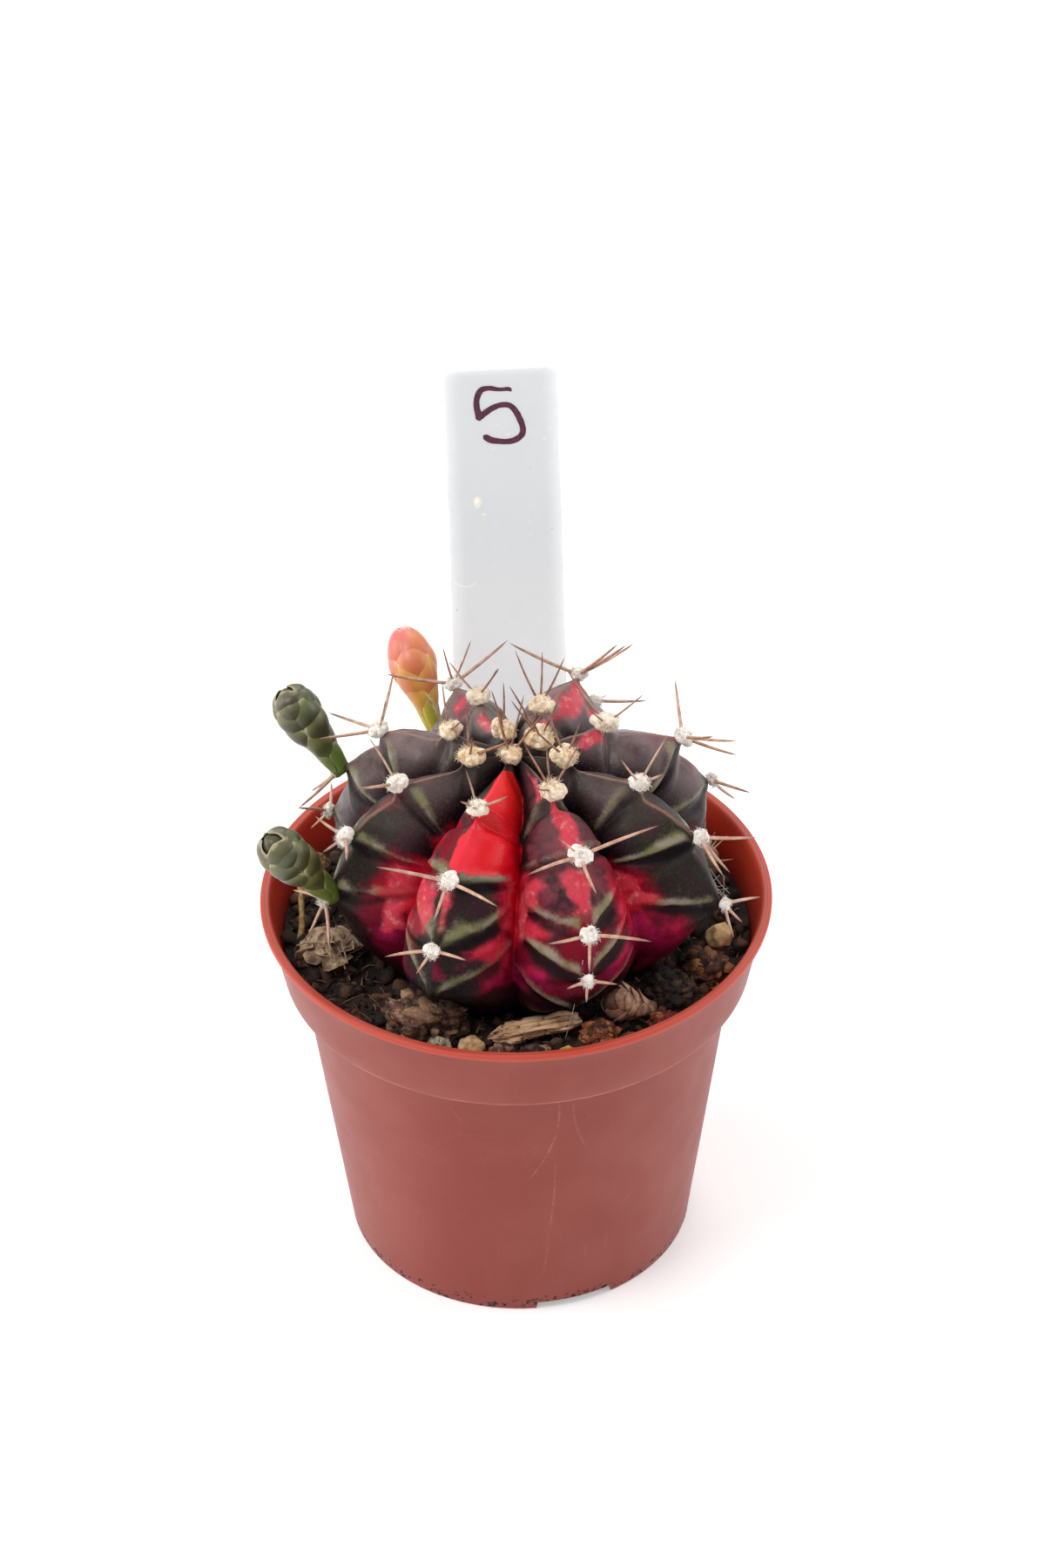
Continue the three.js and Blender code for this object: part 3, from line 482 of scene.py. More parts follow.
def pot_cutters():
    """Boxes for the notches in the foot ring and rods for the drain holes."""
    cutters = Heap()
    box_faces = [(0, 3, 2, 1), (4, 5, 6, 7), (0, 1, 5, 4), (1, 2, 6, 5), (2, 3, 7, 6), (3, 0, 4, 7)]
    corners = np.array([
        (x, y, z) for z in (BELOW, NOTCH_TOP)
        for x, y in ((-NOTCH_HALF, NOTCH_OUTER), (NOTCH_HALF, NOTCH_OUTER),
                     (NOTCH_HALF, NOTCH_INNER), (-NOTCH_HALF, NOTCH_INNER))], float)
    corners[4:, 0] *= NOTCH_NARROWING
    for azimuth in NOTCHES_AT:
        cutters.add(turned(corners, azimuth), box_faces)
    rod = lathe([(0, 0), (DRAIN_RADIUS, 0), (DRAIN_RADIUS, DRAIN_TOP), (0, DRAIN_TOP)], ROD_SIDES)
    for azimuth in DRAINS_AT:
        cutters.add(rod + polar(azimuth, DRAIN_RING, 0.0), turned_faces(2, ROD_SIDES))
    return cutters.mesh("pot_cutters")


pot_line = spaced(rounded(POT_PROFILE, CORNER_MM), SPACING)
pot_faces = turned_faces(len(pot_line) - 2, POT_SIDES)
pot_mesh = make_mesh("pot_turned", lathe(pot_line, POT_SIDES), pot_faces)
pot_mesh = shade_by_angle(cut(pot_mesh, pot_cutters()), SHARP_ANGLE)
print("pot:", len(pot_mesh.polygons), "faces")

# %% [markdown]
# ### Red-brown pot plastic
# The plastic is dyed through and half glossy, and light comes through it. The glow of the inner
# wall above the soil and the brighter lip are painted light, and the dark groove in the lip is
# painted shade. What makes it real is use: dried water in streaks, fine scratches that run in all
# directions, a few long pale marks on the front, worn edges on the band's foot and soil that sticks
# to the foot. The streaks and marks go into the colour, the scratches also into the roughness and a
# very shallow bump.

# %% Pot finish
PLASTIC = srgb(136, 49, 35)
PLASTIC_PALE = srgb(166, 92, 80)
PLASTIC_LIP_PAINTED_LIGHT = srgb(190, 72, 50)
PLASTIC_PAINTED_GLOW = srgb(214, 76, 50)
PLASTIC_MARK = srgb(196, 128, 116)
PLASTIC_WORN = srgb(206, 136, 122)
PLASTIC_GROOVE_SHADE = srgb(128, 38, 28)
SOIL_DARK = srgb(34, 20, 15)
POT_MARKS = [  # from and to as (x, height) on the front of the wall, bend in mm, strength
    ((0.7, 32), (6.3, 53), 2.1, 0.3), ((11.4, 38), (8.8, 52), -0.8, 0.16),
    ((4.7, 20), (5.8, 38), 0.3, 0.22), ((3.6, 8), (4.6, 20), 0.1, 0.12),
    ((-11.5, 49.5), (-9.5, 46), 0.3, 0.14), ((17, 22), (19, 26), 0.3, 0.12),
]


def pot_mark(f, sideways, height, front, start, end, bend, strength):
    """How strongly a long thin mark shows, along a bent line on the front of the wall."""
    (x0, z0), (x1, z1) = start, end
    share = (height - z0) / (z1 - z0)
    inside_ends = share.rise(0.0, 0.15) * share.rise(1.0, 0.8) * front
    off_line = sideways - (share * (x1 - x0) + x0 + share * (1 - share) * 4 * bend)
    broken = f.cloud(1.5, 3, seed=31).rise(0.3, 0.6)
    return abs(off_line).rise(0.3, 0.05) * inside_ends * strength * broken


def pot_plastic():
    f = Finish("pot_plastic")
    sideways, depth, height = f.axis("X"), f.axis("Y"), f.axis("Z")
    from_middle = sideways * sideways + depth * depth  # squared, as is what it's compared with
    front = depth.rise(-4, -8)
    middle_of_wall = (height - 54.6) * 0.2 + 38.72
    within = (middle_of_wall * middle_of_wall - from_middle).rise(5, 25) * height.rise(54, 56)
    groove = from_middle.rise(1732, 1738) * from_middle.rise(1750, 1744) * height.rise(66.7, 66.9)
    scratches = f.cells(5.5, "DISTANCE_TO_EDGE").rise(0.012, 0.0)
    scratches = scratches * f.cloud(9, 2, seed=5).rise(0.52, 0.62)
    streaks = f.cloud(1.1, 2, stretch=(1, 1, 22), seed=3).rise(0.62, 0.78)
    scuffs = f.cloud(2.4, 4, 0.7, seed=12).rise(0.66, 0.72) * height.rise(50, 54)
    hanging = height.rise(4, 1.6) * sideways.rise(1, 3) * sideways.rise(16, 13) * front * 0.8
    low = height.rise(5, 0.5) + hanging
    dirt = (f.cloud(0.8, 4, 0.65, seed=21) + low * 0.12).rise(0.66, 0.72) * low.rise(0.0, 0.8)
    brim = height.rise(53.85, 54.1) * height.rise(54.7, 54.35)
    colour = f.paint(
        PLASTIC,
        (f.cloud(14, 3).rise(0.35, 0.8) * 0.22, PLASTIC_PALE),
        # Painted light: the inner wall glows above the soil, and the top of the lip is brighter than the
        # wall.
        (within * height.rise(57, 66) * 0.75, PLASTIC_PAINTED_GLOW),
        (height.rise(65.2, 66.6) * 0.75, PLASTIC_LIP_PAINTED_LIGHT),
        # Painted shade: a dark ring on top of the lip, the shade of a groove that the mesh doesn't have.
        (groove * f.cloud(18, 2, seed=23).rise(0.3, 0.55) * 0.75, PLASTIC_GROOVE_SHADE),
        (scratches * 0.35, PLASTIC_PALE),
        (streaks * f.cloud(16, 2, seed=9).rise(0.5, 0.7) * 0.2, PLASTIC_PALE),
        (scuffs * 0.25, PLASTIC_PALE),
        (dirt, SOIL_DARK),
        *((pot_mark(f, sideways, height, front, *mark), PLASTIC_MARK) for mark in POT_MARKS),
        (brim * f.cloud(4, 3, seed=35).rise(0.2, 0.7) * 0.45, PLASTIC_WORN))
    rough = 0.36 + f.cloud(6, 3, seed=2) * 0.16 + scratches * 0.15 + dirt * 0.4
    grain = f.cloud(0.35, 2) * 0.25 + f.cloud(9, 2, seed=4) * 1.0
    return f.surface(
        Base_Color=colour, Roughness=rough, Normal=f.bump(grain - scratches * 0.2, 0.05),
        Subsurface_Weight=0.22, Subsurface_Scale=0.004, Subsurface_Radius=(1.0, 0.35, 0.2),
        Specular_IOR_Level=0.4)


finish_piece("pot_moulded", pot_mesh, pot_plastic(), "pot")

# %% [markdown]
# ## The plant's form
# A ribbed cactus is a surface swept from two lines: the crest of a rib and the groove beside it,
# each drawn once as radius and height. Between the lines the skin bulges a little. Along the crest
# the skin rises to a point at each areole, drops suddenly below it and climbs again to the next, so
# a side view looks like a saw. The flanks follow with a ridge level with the areole and a crease
# below it. These are the same lines and numbers as in the CAD model, only with far more rows.

# %% Plant lines
CREST = [  # radius and height, from the apex to the soil
    (0, 95.4), (4, 96.6), (8.5, 96.8), (15.5, 96.3), (21, 95.2), (26.5, 92.3), (30, 89.3),
    (32.4, 85.8), (34.4, 81.5), (35.5, 77), (35.7, 73), (33.9, 69.2), (29.8, 65.6), (26.8, 62),
    (24.8, 58.5), (23.4, 55),
]
GROOVE = [
    (0, 95.4), (3.2, 93.2), (8.5, 90.6), (15, 87.4), (19.5, 84), (23.7, 79), (26, 75.4), (27, 71),
    (26.6, 67.4), (24.9, 64), (22.8, 60), (21.8, 56),
]
RIB_STEP = 45.0
REACH_FROM, REACH_TO = 12.0, 40.0
RIBS = {  # azimuth, sweep in degrees over 20 mm, reach, areoles along the crest in mm
    "A": (-21.7, -1.2, 1.00, [2.5, 17, 30.4, 41.5, 50.5]),
    "B": (22.3, -5.0, 0.99, [13.4, 26.8, 39.2, 46.8, 56]),
    "C": (67.5, 0.0, 1.00, [9.2, 21.9, 34.8, 47.8]),
    "D": (112.5, 0.0, 0.99, [5, 16.5, 31.9, 43.5]),
    "E": (157.5, 0.0, 1.03, [11.8, 29, 41.5, 51]),
    "F": (202.5, 0.0, 0.90, [4.8, 15.3, 28.2, 45]),
    "G": (247.5, 0.0, 0.91, [11.5, 25.2, 37.5, 48]),
    "H": (292.5, 0.0, 0.92, [8, 21, 34.3, 44.5]),
}
NAMES = list(RIBS)
GROOVE_TURN = {  # how far a groove lies from midway between its crests: distances and degrees
    "H": ((20, 2.3), (40, 2.0)),
    "A": ((6, 14.0), (12, 10.0), (19, 4.5), (26, 2.8), (32, 0.7), (44, -1.0)),
    "B": ((12, 4.0), (20, 1.7), (45, 1.7)),
    "F": ((8, -2.0), (16, -7.0), (40, -9.0)),
}
SAW_DEPTH, SAW_MOST = 0.13, 1.75
POINT_LIFT, POINT_WIDTH = 0.55, 1.7
FLANK_BULGE = ((0, 0.0), (8, 0.3), (18, 1.0), (27, 2.0), (40, 2.4), (52, 1.6), (66, 0.5))
FOLD_SWEEP = ((5, 8.0), (13, 8.5), (21, 3.5), (30, 0.0), (35, -3.8), (40, -7.3), (50, -8.0))
FOLD_DEPTH, FOLD_RIDGE = 1.1, 0.45


def smooth_line(points, count=400):
    """A smooth line through points, measured along its length: place and direction by share."""
    p = np.array(points, float)
    rows = []
    for n in range(len(p) - 1):
        before, after = p[max(n - 1, 0)], p[min(n + 2, len(p) - 1)]
        v0, v1 = (p[n + 1] - before) / 2, (after - p[n]) / 2
        t = np.linspace(0, 1, count, endpoint=False)[:, None]
        rows.append((2 * p[n] - 2 * p[n + 1] + v0 + v1) * t**3
                    + (3 * p[n + 1] - 3 * p[n] - 2 * v0 - v1) * t**2 + v0 * t + p[n])
    rows = np.concatenate([*rows, p[-1:]])
    far = far_along(rows)
    way = unit(np.gradient(rows, axis=0))

    def at(share):
        share = np.clip(share, 0, 1) * far[-1]
        return (np.stack([np.interp(share, far, rows[:, n]) for n in (0, 1)], -1),
                unit(np.stack([np.interp(share, far, way[:, n]) for n in (0, 1)], -1)))

    return at, far[-1]


crest_at, crest_length = smooth_line(CREST)
groove_at, groove_length = smooth_line(GROOVE)


def rib_azimuth(rib, along):
    azimuth, sweep = RIBS[rib][:2]
    return azimuth + sweep * (along - 30) / 20


def hump(x, width):
    """1 where x is 0, and smoothly down to nothing at both sides."""
    return np.exp(-((x / width) ** 2))


def reach_at(reach, along):
    """The share by which a rib stands out more or less than the drawn lines."""
    return 1 + (reach - 1) * smoothstep(along, REACH_FROM, REACH_TO)


def saw(rib, along):
    """How far the skin has dropped below its points, 0..1, the depth in mm, the share of the
    way from one areole (0) to the next (1), and the length of that way in mm."""
    along = np.asarray(along, float)
    stops = np.array([-8.0, *RIBS[rib][3], crest_length + 6])
    which = np.clip(np.searchsorted(stops, along, side="left") - 1, 0, len(stops) - 2)
    low, high = stops[which], stops[which + 1]
    t = np.clip((along - low) / (high - low), 0, 1)
    drop = 1.35 * (1 - t) ** 1.3 * smoothstep(t, 0, 0.22)
    depth = np.minimum(SAW_MOST, SAW_DEPTH * (high - low)) * np.minimum(1, along / 16)
    return drop, depth, t, high - low


def crest_frame(rib, along):
    """Place, way down, way out and way right of a rib's crest, at distances from the apex."""
    along = np.asarray(along, float)
    point, way = crest_at(along / crest_length)
    drop, depth = saw(rib, along)[:2]
    near = np.min([np.abs(along - a) for a in RIBS[rib][3]], axis=0)
    lift = POINT_LIFT * hump(near, POINT_WIDTH) - drop * depth
    azimuth = rib_azimuth(rib, along)
    down = polar(azimuth, way[..., 0], way[..., 1])
    out = polar(azimuth, -way[..., 1], way[..., 0])
    radius = point[..., 0] * reach_at(RIBS[rib][2], along) - way[..., 1] * lift
    place = polar(azimuth, radius, point[..., 1] + way[..., 0] * lift)
    return place, down, out, np.cross(out, down)


def table(rows, x):
    """The value at x of a short table of places and values."""
    return np.interp(x, [row[0] for row in rows], [row[1] for row in rows])


def fold_place(across, along):
    """Where the fold through a point meets the crest: folds sweep down high on the plant and up
    low on it."""
    start = along
    for _ in range(14):
        start = along - table(FOLD_SWEEP, start) * across**1.3
    return start


def skin(rib, side, share):
    """The skin between a crest (side 0) and the groove at either side (-1 or 1)."""
    side, share = np.broadcast_arrays(side, share)
    along = share * crest_length
    place, down, _, _ = crest_frame(rib, along)
    number = NAMES.index(rib)
    low, _ = groove_at(share)
    across, hand = np.abs(side), np.sign(side)
    groove = np.zeros(place.shape)
    for h in (-1, 1):
        other = NAMES[(number + h) % 8]
        turn = GROOVE_TURN.get(rib if h > 0 else other)
        turn = table(turn, along) if turn else 0.0
        width = low[..., 0] * reach_at((RIBS[rib][2] + RIBS[other][2]) / 2, along)
        line = polar(RIB_STEP * (number - 0.5) + h * RIB_STEP / 2 + turn, width, low[..., 1])
        groove = np.where((hand == h)[..., None], line, groove)
    _, depth, turn, gap = saw(rib, fold_place(across, along))
    bulge = table(FLANK_BULGE, along) * np.sin(np.pi * across**1.25)
    puff = np.sin(np.pi * turn**0.8) * np.sin(np.pi * across**0.8) * depth * 0.45
    below, above = turn * gap, (1 - turn) * gap
    crease = hump(below - 0.5, 1.1) + hump(above + 0.5, 1.1)
    ridge = hump(above - 1.3, 0.9)
    fade = smoothstep(across, 0.0, 0.2) * smoothstep(across, 1.0, 0.65) * depth / SAW_MOST
    valley = (FOLD_DEPTH * np.minimum(crease, 1) - FOLD_RIDGE * ridge) * fade
    face = unit(np.cross(down, groove - place)) * hand[..., None]
    return place + (groove - place) * across[..., None] + face * (bulge + puff - valley)[..., None]


print("crest", round(crest_length, 1), "mm, groove", round(groove_length, 1), "mm")

# %% [markdown]
# ### The skin as a mesh
# The columns lie closer together near a crest, where the skin folds sharply, and the rows are a
# quarter of a millimetre apart. A little smoothing across the columns rounds the crest, as on the
# plant, and fine noise ripples the skin. Each point also keeps how far it is from its crest, how far
# from the apex and where it is round the plant, because its colour depends on them.

# %% Skin mesh
SIDE_STEPS = np.array([
    0, 0.025, 0.055, 0.09, 0.13, 0.18, 0.235, 0.295, 0.36, 0.425, 0.49, 0.555, 0.62, 0.685, 0.745,
    0.8, 0.85, 0.89, 0.925, 0.955, 0.98, 1.0])
SKIN_ROWS, SMOOTHINGS, PLANT_MIDDLE_Z = 250, 3, 72
sides_of_rib = np.concatenate([-SIDE_STEPS[:0:-1][1:], SIDE_STEPS])
grid_side, grid_share = np.meshgrid(sides_of_rib, np.arange(1, SKIN_ROWS + 1) / SKIN_ROWS)
grid = np.concatenate([skin(rib, grid_side, grid_share) for rib in NAMES], axis=1)
for _ in range(SMOOTHINGS):
    grid = 0.25 * np.roll(grid, 1, 1) + 0.5 * grid + 0.25 * np.roll(grid, -1, 1)
across = np.tile(np.abs(grid_side), len(NAMES))
along_crest = np.tile(grid_share * crest_length, len(NAMES))
round_plant = np.concatenate([number + grid_side / 2 for number in range(len(NAMES))], axis=1)
normal = unit(np.cross(np.gradient(grid, axis=0), np.roll(grid, -1, 1) - np.roll(grid, 1, 1)))
if np.sum(normal * (grid - (0, 0, PLANT_MIDDLE_Z))) < 0:
    normal = -normal
flat = grid.reshape(-1, 3)
ripple = layered(flat, 4.5, 2.0, 3) * 0.13 + layered(flat * (1, 1, 0.6), 1.3, 8.0, 2) * 0.04
ripple = ripple.reshape(grid.shape[:2]) * np.minimum(1, along_crest / 10)
grid = grid + normal * ripple[..., None]
skin_points = np.concatenate([[[0, 0, CREST[0][1]]], grid.reshape(-1, 3), [[0, 0, CREST[-1][1]]]])
skin_faces = ring_faces(SKIN_ROWS, grid.shape[1])
print("skin:", len(skin_faces), "faces, top at", round(float(grid[..., 2].max()), 1), "mm")

# %% [markdown]
# ### Where the red comes through
# This plant is variegated: its dark skin has green and purple pigment over red, and where the green
# is missing the red shows, scarlet in the light, crimson in the grooves and magenta low down. Mauve
# and wash are thin veils of red under the dark. Shade is no pigment but painted shade, on the dark
# foot near the soil. Each patch is an outline: places round the plant (0 is the crest of the first
# rib, 0.5 the groove after it) against distances from the apex in mm. Its edge is soft, and noise
# makes it wander.

# %% Pigment and shade outlines
PIGMENT_AND_SHADE = {  # name: softness of the edge in mm, outlines
    "scarlet": (1.1, [
        [(-0.05, 5), (0.25, 4.5), (0.5, 7.5), (0.53, 13), (0.5, 19), (0.52, 26), (0.49, 29.5),
         (0.28, 28.6), (0.12, 28.9), (0.0, 28.5), (-0.06, 27.6), (-0.08, 24.7), (-0.06, 20.8),
         (-0.08, 17.9), (-0.02, 12.6)], [(0.36, 28), (0.5, 28), (0.5, 36), (0.42, 34), (0.38, 31)],
    ]),
    "crimson": (2.2, [
        [(0.28, 28.7), (0.5, 28.3), (0.52, 33.5), (0.49, 38.2), (0.49, 41.2), (0.38, 38),
         (0.31, 35.5), (0.29, 31.2)],
        [(0.17, 41.4), (0.24, 40.3), (0.36, 39.3), (0.47, 41.1), (0.49, 50), (0.36, 46), (0.25, 43.4),
         (0.14, 44.6)],
        [(0.55, 27.5), (0.63, 27), (0.62, 30), (0.53, 31.9), (0.53, 43), (0.48, 44), (0.47, 28)],
        [(-0.22, 29), (-0.56, 29.8), (-0.65, 33.4), (-0.72, 37.5), (-0.72, 40.2), (-0.69, 41.9),
         (-0.56, 42.5), (-0.28, 40.5), (-0.3, 36)],
        [(-0.54, 20.5), (-0.3, 18), (-0.24, 24), (-0.24, 29), (-0.5, 29), (-0.6, 25)],
        [(1.2, 30), (1.28, 32.6), (1.45, 33), (1.55, 34), (1.59, 35.4), (1.65, 36.6), (1.64, 38),
         (1.59, 39.1), (1.69, 40.5), (1.62, 42.1), (1.57, 42.8), (1.32, 44.6), (1.24, 43.4),
         (1.23, 40.9), (1.23, 37.5), (1.18, 32)],
        [(0.53, 36.5), (0.72, 36.2), (0.78, 38), (0.84, 39.1), (0.78, 40.2), (0.64, 40.5),
         (0.53, 42.1)], [(3.4, 33), (3.62, 33), (3.66, 44), (3.38, 46)],
        [(5.3, 28), (5.6, 28), (5.62, 38), (5.4, 42), (5.3, 36)],
        [(6.36, 36), (6.6, 34), (6.62, 44), (6.4, 46)],
    ]),
    "rose": (1.5, [
        [(-0.08, 30.6), (-0.24, 29.8), (-0.33, 33), (-0.36, 37), (-0.32, 41), (-0.18, 41.8),
         (-0.1, 40), (-0.08, 36)], [(0.36, 30), (0.44, 30), (0.44, 35), (0.38, 34)],
        [(0.52, 33), (0.6, 33), (0.62, 41), (0.54, 42)],
        [(-0.56, 39), (-0.68, 40), (-0.64, 47), (-0.52, 46)],
        [(1.42, 32), (1.56, 33.4), (1.6, 38), (1.48, 38)],
        [(-0.04, 31.9), (0.0, 31.5), (0.02, 34.8), (0.02, 38), (0.0, 38.8), (-0.02, 36)],
        [(0.88, 5), (0.96, 8.4), (0.89, 12.2), (0.81, 14.5), (0.83, 10)],
        [(0.92, 14.2), (1.05, 14.6), (1.12, 18), (1.1, 22), (1.06, 26), (0.95, 26), (0.92, 22),
         (0.93, 18)],
        [(0.6, 30.1), (0.74, 28.9), (0.8, 31), (0.75, 32.1), (0.72, 34.4), (0.68, 35.7), (0.61, 35),
         (0.53, 34.1), (0.53, 31.9)],
        [(0.9, 28.1), (1.03, 28.1), (1.08, 29.4), (1.05, 33), (1.05, 35.8), (0.99, 37), (0.92, 36.2),
         (0.94, 33.7), (0.9, 32.4), (0.88, 29.9)],
        [(1.5, 39.2), (1.6, 39), (1.66, 40), (1.58, 41.6), (1.5, 41.8)],
        [(4.0, 28), (3.97, 22.2), (3.95, 17.7), (3.88, 14.8), (3.83, 17.9), (3.77, 21.2), (3.8, 24.7),
         (3.9, 28)], [(3.6, 4), (3.96, 4.3), (3.93, 8.6), (3.86, 12.9), (3.72, 12), (3.6, 8)],
        [(2.88, 11), (2.98, 12), (3.0, 14.7), (2.88, 17), (2.82, 14)],
        [(3.66, 29), (3.73, 24), (3.8, 25), (3.74, 30)],
        [(5.17, 14.3), (5.05, 13.1), (5.01, 9.1), (5.12, 8.8), (5.21, 11.8)],
        [(5.12, 22.8), (5.0, 21.2), (5.05, 19.8), (5.17, 21)],
        [(7.3, 35), (7.42, 34.4), (7.44, 37), (7.32, 37.6)],
    ]),
    "mauve": (3.2, [
        [(0.62, 20.8), (0.81, 19.3), (0.93, 18.8), (0.97, 23.3), (0.94, 26.2), (0.79, 27.5),
         (0.6, 27.4)], [(4.96, 16), (5.2, 15), (5.3, 24), (5.0, 26)],
        [(6.86, 22), (7.0, 14), (7.1, 22), (6.9, 30)], [(0.7, 8), (0.88, 6), (0.84, 14), (0.72, 15)],
        [(3.78, 16), (4.2, 10), (4.3, 30), (4.0, 31)], [(2.9, 26), (3.12, 26), (3.1, 40), (2.9, 40)],
        [(0.6, 17), (1.4, 17), (1.44, 40), (0.6, 41)],
        [(1.06, 27), (1.2, 25), (1.32, 30), (1.3, 38), (1.12, 40), (1.1, 32)],
    ]),
    "wash": (3.2, [
        [(-0.04, 15), (-0.16, 17), (-0.22, 24), (-0.2, 29), (-0.05, 29), (-0.08, 22)],
        [(0.34, 27), (0.5, 26), (0.68, 29), (0.78, 35), (0.8, 44), (0.84, 62), (0.18, 62), (0.26, 50),
         (0.3, 40)], [(-0.2, 30), (-0.74, 31), (-0.8, 42), (-0.72, 60), (-0.25, 60), (-0.2, 44)],
        [(1.2, 29.5), (1.5, 31), (1.66, 35), (1.72, 44), (1.84, 50), (1.7, 60), (1.2, 60),
         (1.16, 44)], [(0.84, 36), (1.16, 36), (1.2, 52), (0.8, 52)],
    ]),
    # Painted shade, not a pigment: the dark foot of the plant near the soil.
    "shade": (3.0, [
        [(-1.5, 44), (-0.8, 46.5), (-0.6, 53), (-0.5, 66), (-1.5, 66)],
        [(-0.5, 51), (-0.1, 50), (0.2, 50.4), (0.5, 51.4), (0.8, 52), (1.2, 52), (1.5, 53), (1.6, 66),
         (-0.5, 66)],
        [(1.84, 53), (2.5, 49), (3.5, 49), (4.5, 49), (5.5, 49), (6.5, 48), (6.5, 66), (1.8, 66)],
    ]),
    "magenta": (2.8, [
        [(0.69, 41.1), (0.84, 40.7), (0.88, 42.1), (0.79, 42.8)],
        [(0.97, 40.9), (1.02, 41.2), (1.04, 43.2), (1.02, 44.8), (0.99, 44.8), (0.98, 42.3)],
        [(0.3, 48), (0.53, 46.4), (0.64, 45.2), (0.77, 45.6), (0.8, 47), (0.8, 62), (0.3, 62),
         (0.26, 52)],
        [(1.12, 41.8), (1.2, 43.4), (1.3, 44.1), (1.4, 42.1), (1.57, 42.8), (1.68, 44.1),
         (1.74, 46.4), (1.82, 49.5), (1.85, 52), (1.68, 52.2), (1.66, 62), (1.3, 62), (1.12, 48)],
        [(-0.28, 40.3), (-0.56, 42.6), (-0.69, 45.2), (-0.68, 49), (-0.62, 52), (-0.55, 51),
         (-0.3, 62), (-0.2, 50), (-0.24, 42.5)],
        [(-0.04, 42.5), (0.03, 42.3), (0.04, 46.5), (-0.01, 47.5)],
        [(2.36, 42), (2.62, 42), (2.7, 50), (2.5, 60), (2.3, 50)],
        [(3.3, 47), (3.66, 45), (3.7, 58), (3.3, 58)],
        [(4.36, 40), (4.62, 40), (4.66, 56), (4.3, 54)],
        [(5.3, 44), (5.62, 40), (5.64, 56), (5.36, 58)],
        [(6.3, 47), (6.62, 45), (6.7, 54), (6.4, 60)],
    ]),
}
ROUND_MM = 26.0  # the width of one rib, to measure distances round the plant


def inside(outline, x, y):
    """Distance in mm inside an outline, negative outside it."""
    points = np.array(outline, float) * (ROUND_MM, 1)
    near, odd = np.full(x.shape, 1e9), np.zeros(x.shape, bool)
    for (ax, ay), (bx, by) in zip(points, np.roll(points, -1, 0)):
        vx, vy = bx - ax, by - ay
        t = np.clip(((x - ax) * vx + (y - ay) * vy) / (vx * vx + vy * vy), 0, 1)
        near = np.minimum(near, np.hypot(x - ax - t * vx, y - ay - t * vy))
        crossed = (ay > y) != (by > y)
        odd ^= crossed & (x < ax + (y - ay) * vx / (vy if vy else 1e-9))
    return np.where(odd, near, -near)


flat = grid.reshape(-1, 3)
wander = (0.7 * layered(flat, 3.4, 4.4, 4) + 0.5 * layered(flat, 1.4, 8.1, 2)).reshape(across.shape)
skin_values = {"across": across, "along": along_crest}
for pigment, (soft, outlines) in PIGMENT_AND_SHADE.items():
    field = np.zeros(across.shape)
    for outline in outlines:
        for shift in (-len(NAMES), 0, len(NAMES)):
            distance = inside(outline, (round_plant + shift) * ROUND_MM, along_crest)
            field = np.maximum(field, smoothstep(distance + wander, -soft, soft))
    skin_values[pigment] = field
    print(pigment, "covers", round(float(field.mean()) * 100, 1), "% of the skin mesh")

# %% [markdown]
# ### Folds
# Level with each areole the skin has a fold: a ridge that is pale grey-green, with painted light on
# it, then a crease darkened with painted shade. High on the plant the folds are faint; low on it they
# are strong, like a pleat. Their strength is a number for each areole, and noise lets each fade in
# and out, so no two look alike. The folds on the left of the first rib are the widest.

# %% Folds
FOLD_STRENGTH = {
    "A": (0, 0.15, 1, 1, 0.9), "B": (0.55, 0.4, 1, 1, 0.5), "C": (0.2, 0.55, 1, 0.85),
    "D": (0.3, 0.35, 0.8, 0.9), "E": (0.2, 0.5, 0.9, 0.8), "F": (0.2, 0.5, 0.8, 0.9),
    "G": (0.3, 0.7, 0.9, 0.8), "H": (0.3, 0.6, 1.1, 1),
}
band, crease = np.zeros(across.shape), np.zeros(across.shape)
width = len(sides_of_rib)
fade = layered(flat, 5.0, 31.0, 3).reshape(across.shape)
for number, rib in enumerate(NAMES):
    part = np.s_[:, number * width:(number + 1) * width]
    place = fold_place(across[part], along_crest[part])
    for areole, strength in zip(RIBS[rib][3], FOLD_STRENGTH[rib]):
        gone = place - areole + 0.4 * fade[part]
        show = smoothstep(across[part], 0.02, 0.12)
        show = show * smoothstep(across[part] + 0.2 * fade[part], 1.05, 0.75)
        show = show * strength * (0.9 + 0.4 * fade[part])
        wide = (0.8 + 0.55 * strength) * (1 + 0.3 * fade[part])
        if rib == "A":
            wide[:, :width // 2] *= 1.5
            wide *= 1.35 if areole > 40 else 1.0
        band[part] = np.maximum(band[part], show * hump(gone + 1.4, wide))
        crease[part] = np.maximum(crease[part], show * hump(gone - 0.9, wide))
skin_values.update(band=np.clip(band, 0, 1), crease=np.clip(crease, 0, 1))
skin_values = {key: np.concatenate([[0.0], v.ravel(), [0.0]]) for key, v in skin_values.items()}
skin_mesh = make_mesh("cactus_skin", skin_points, skin_faces, skin_values)
print("folds drawn:", sum(len(v) for v in FOLD_STRENGTH.values()))
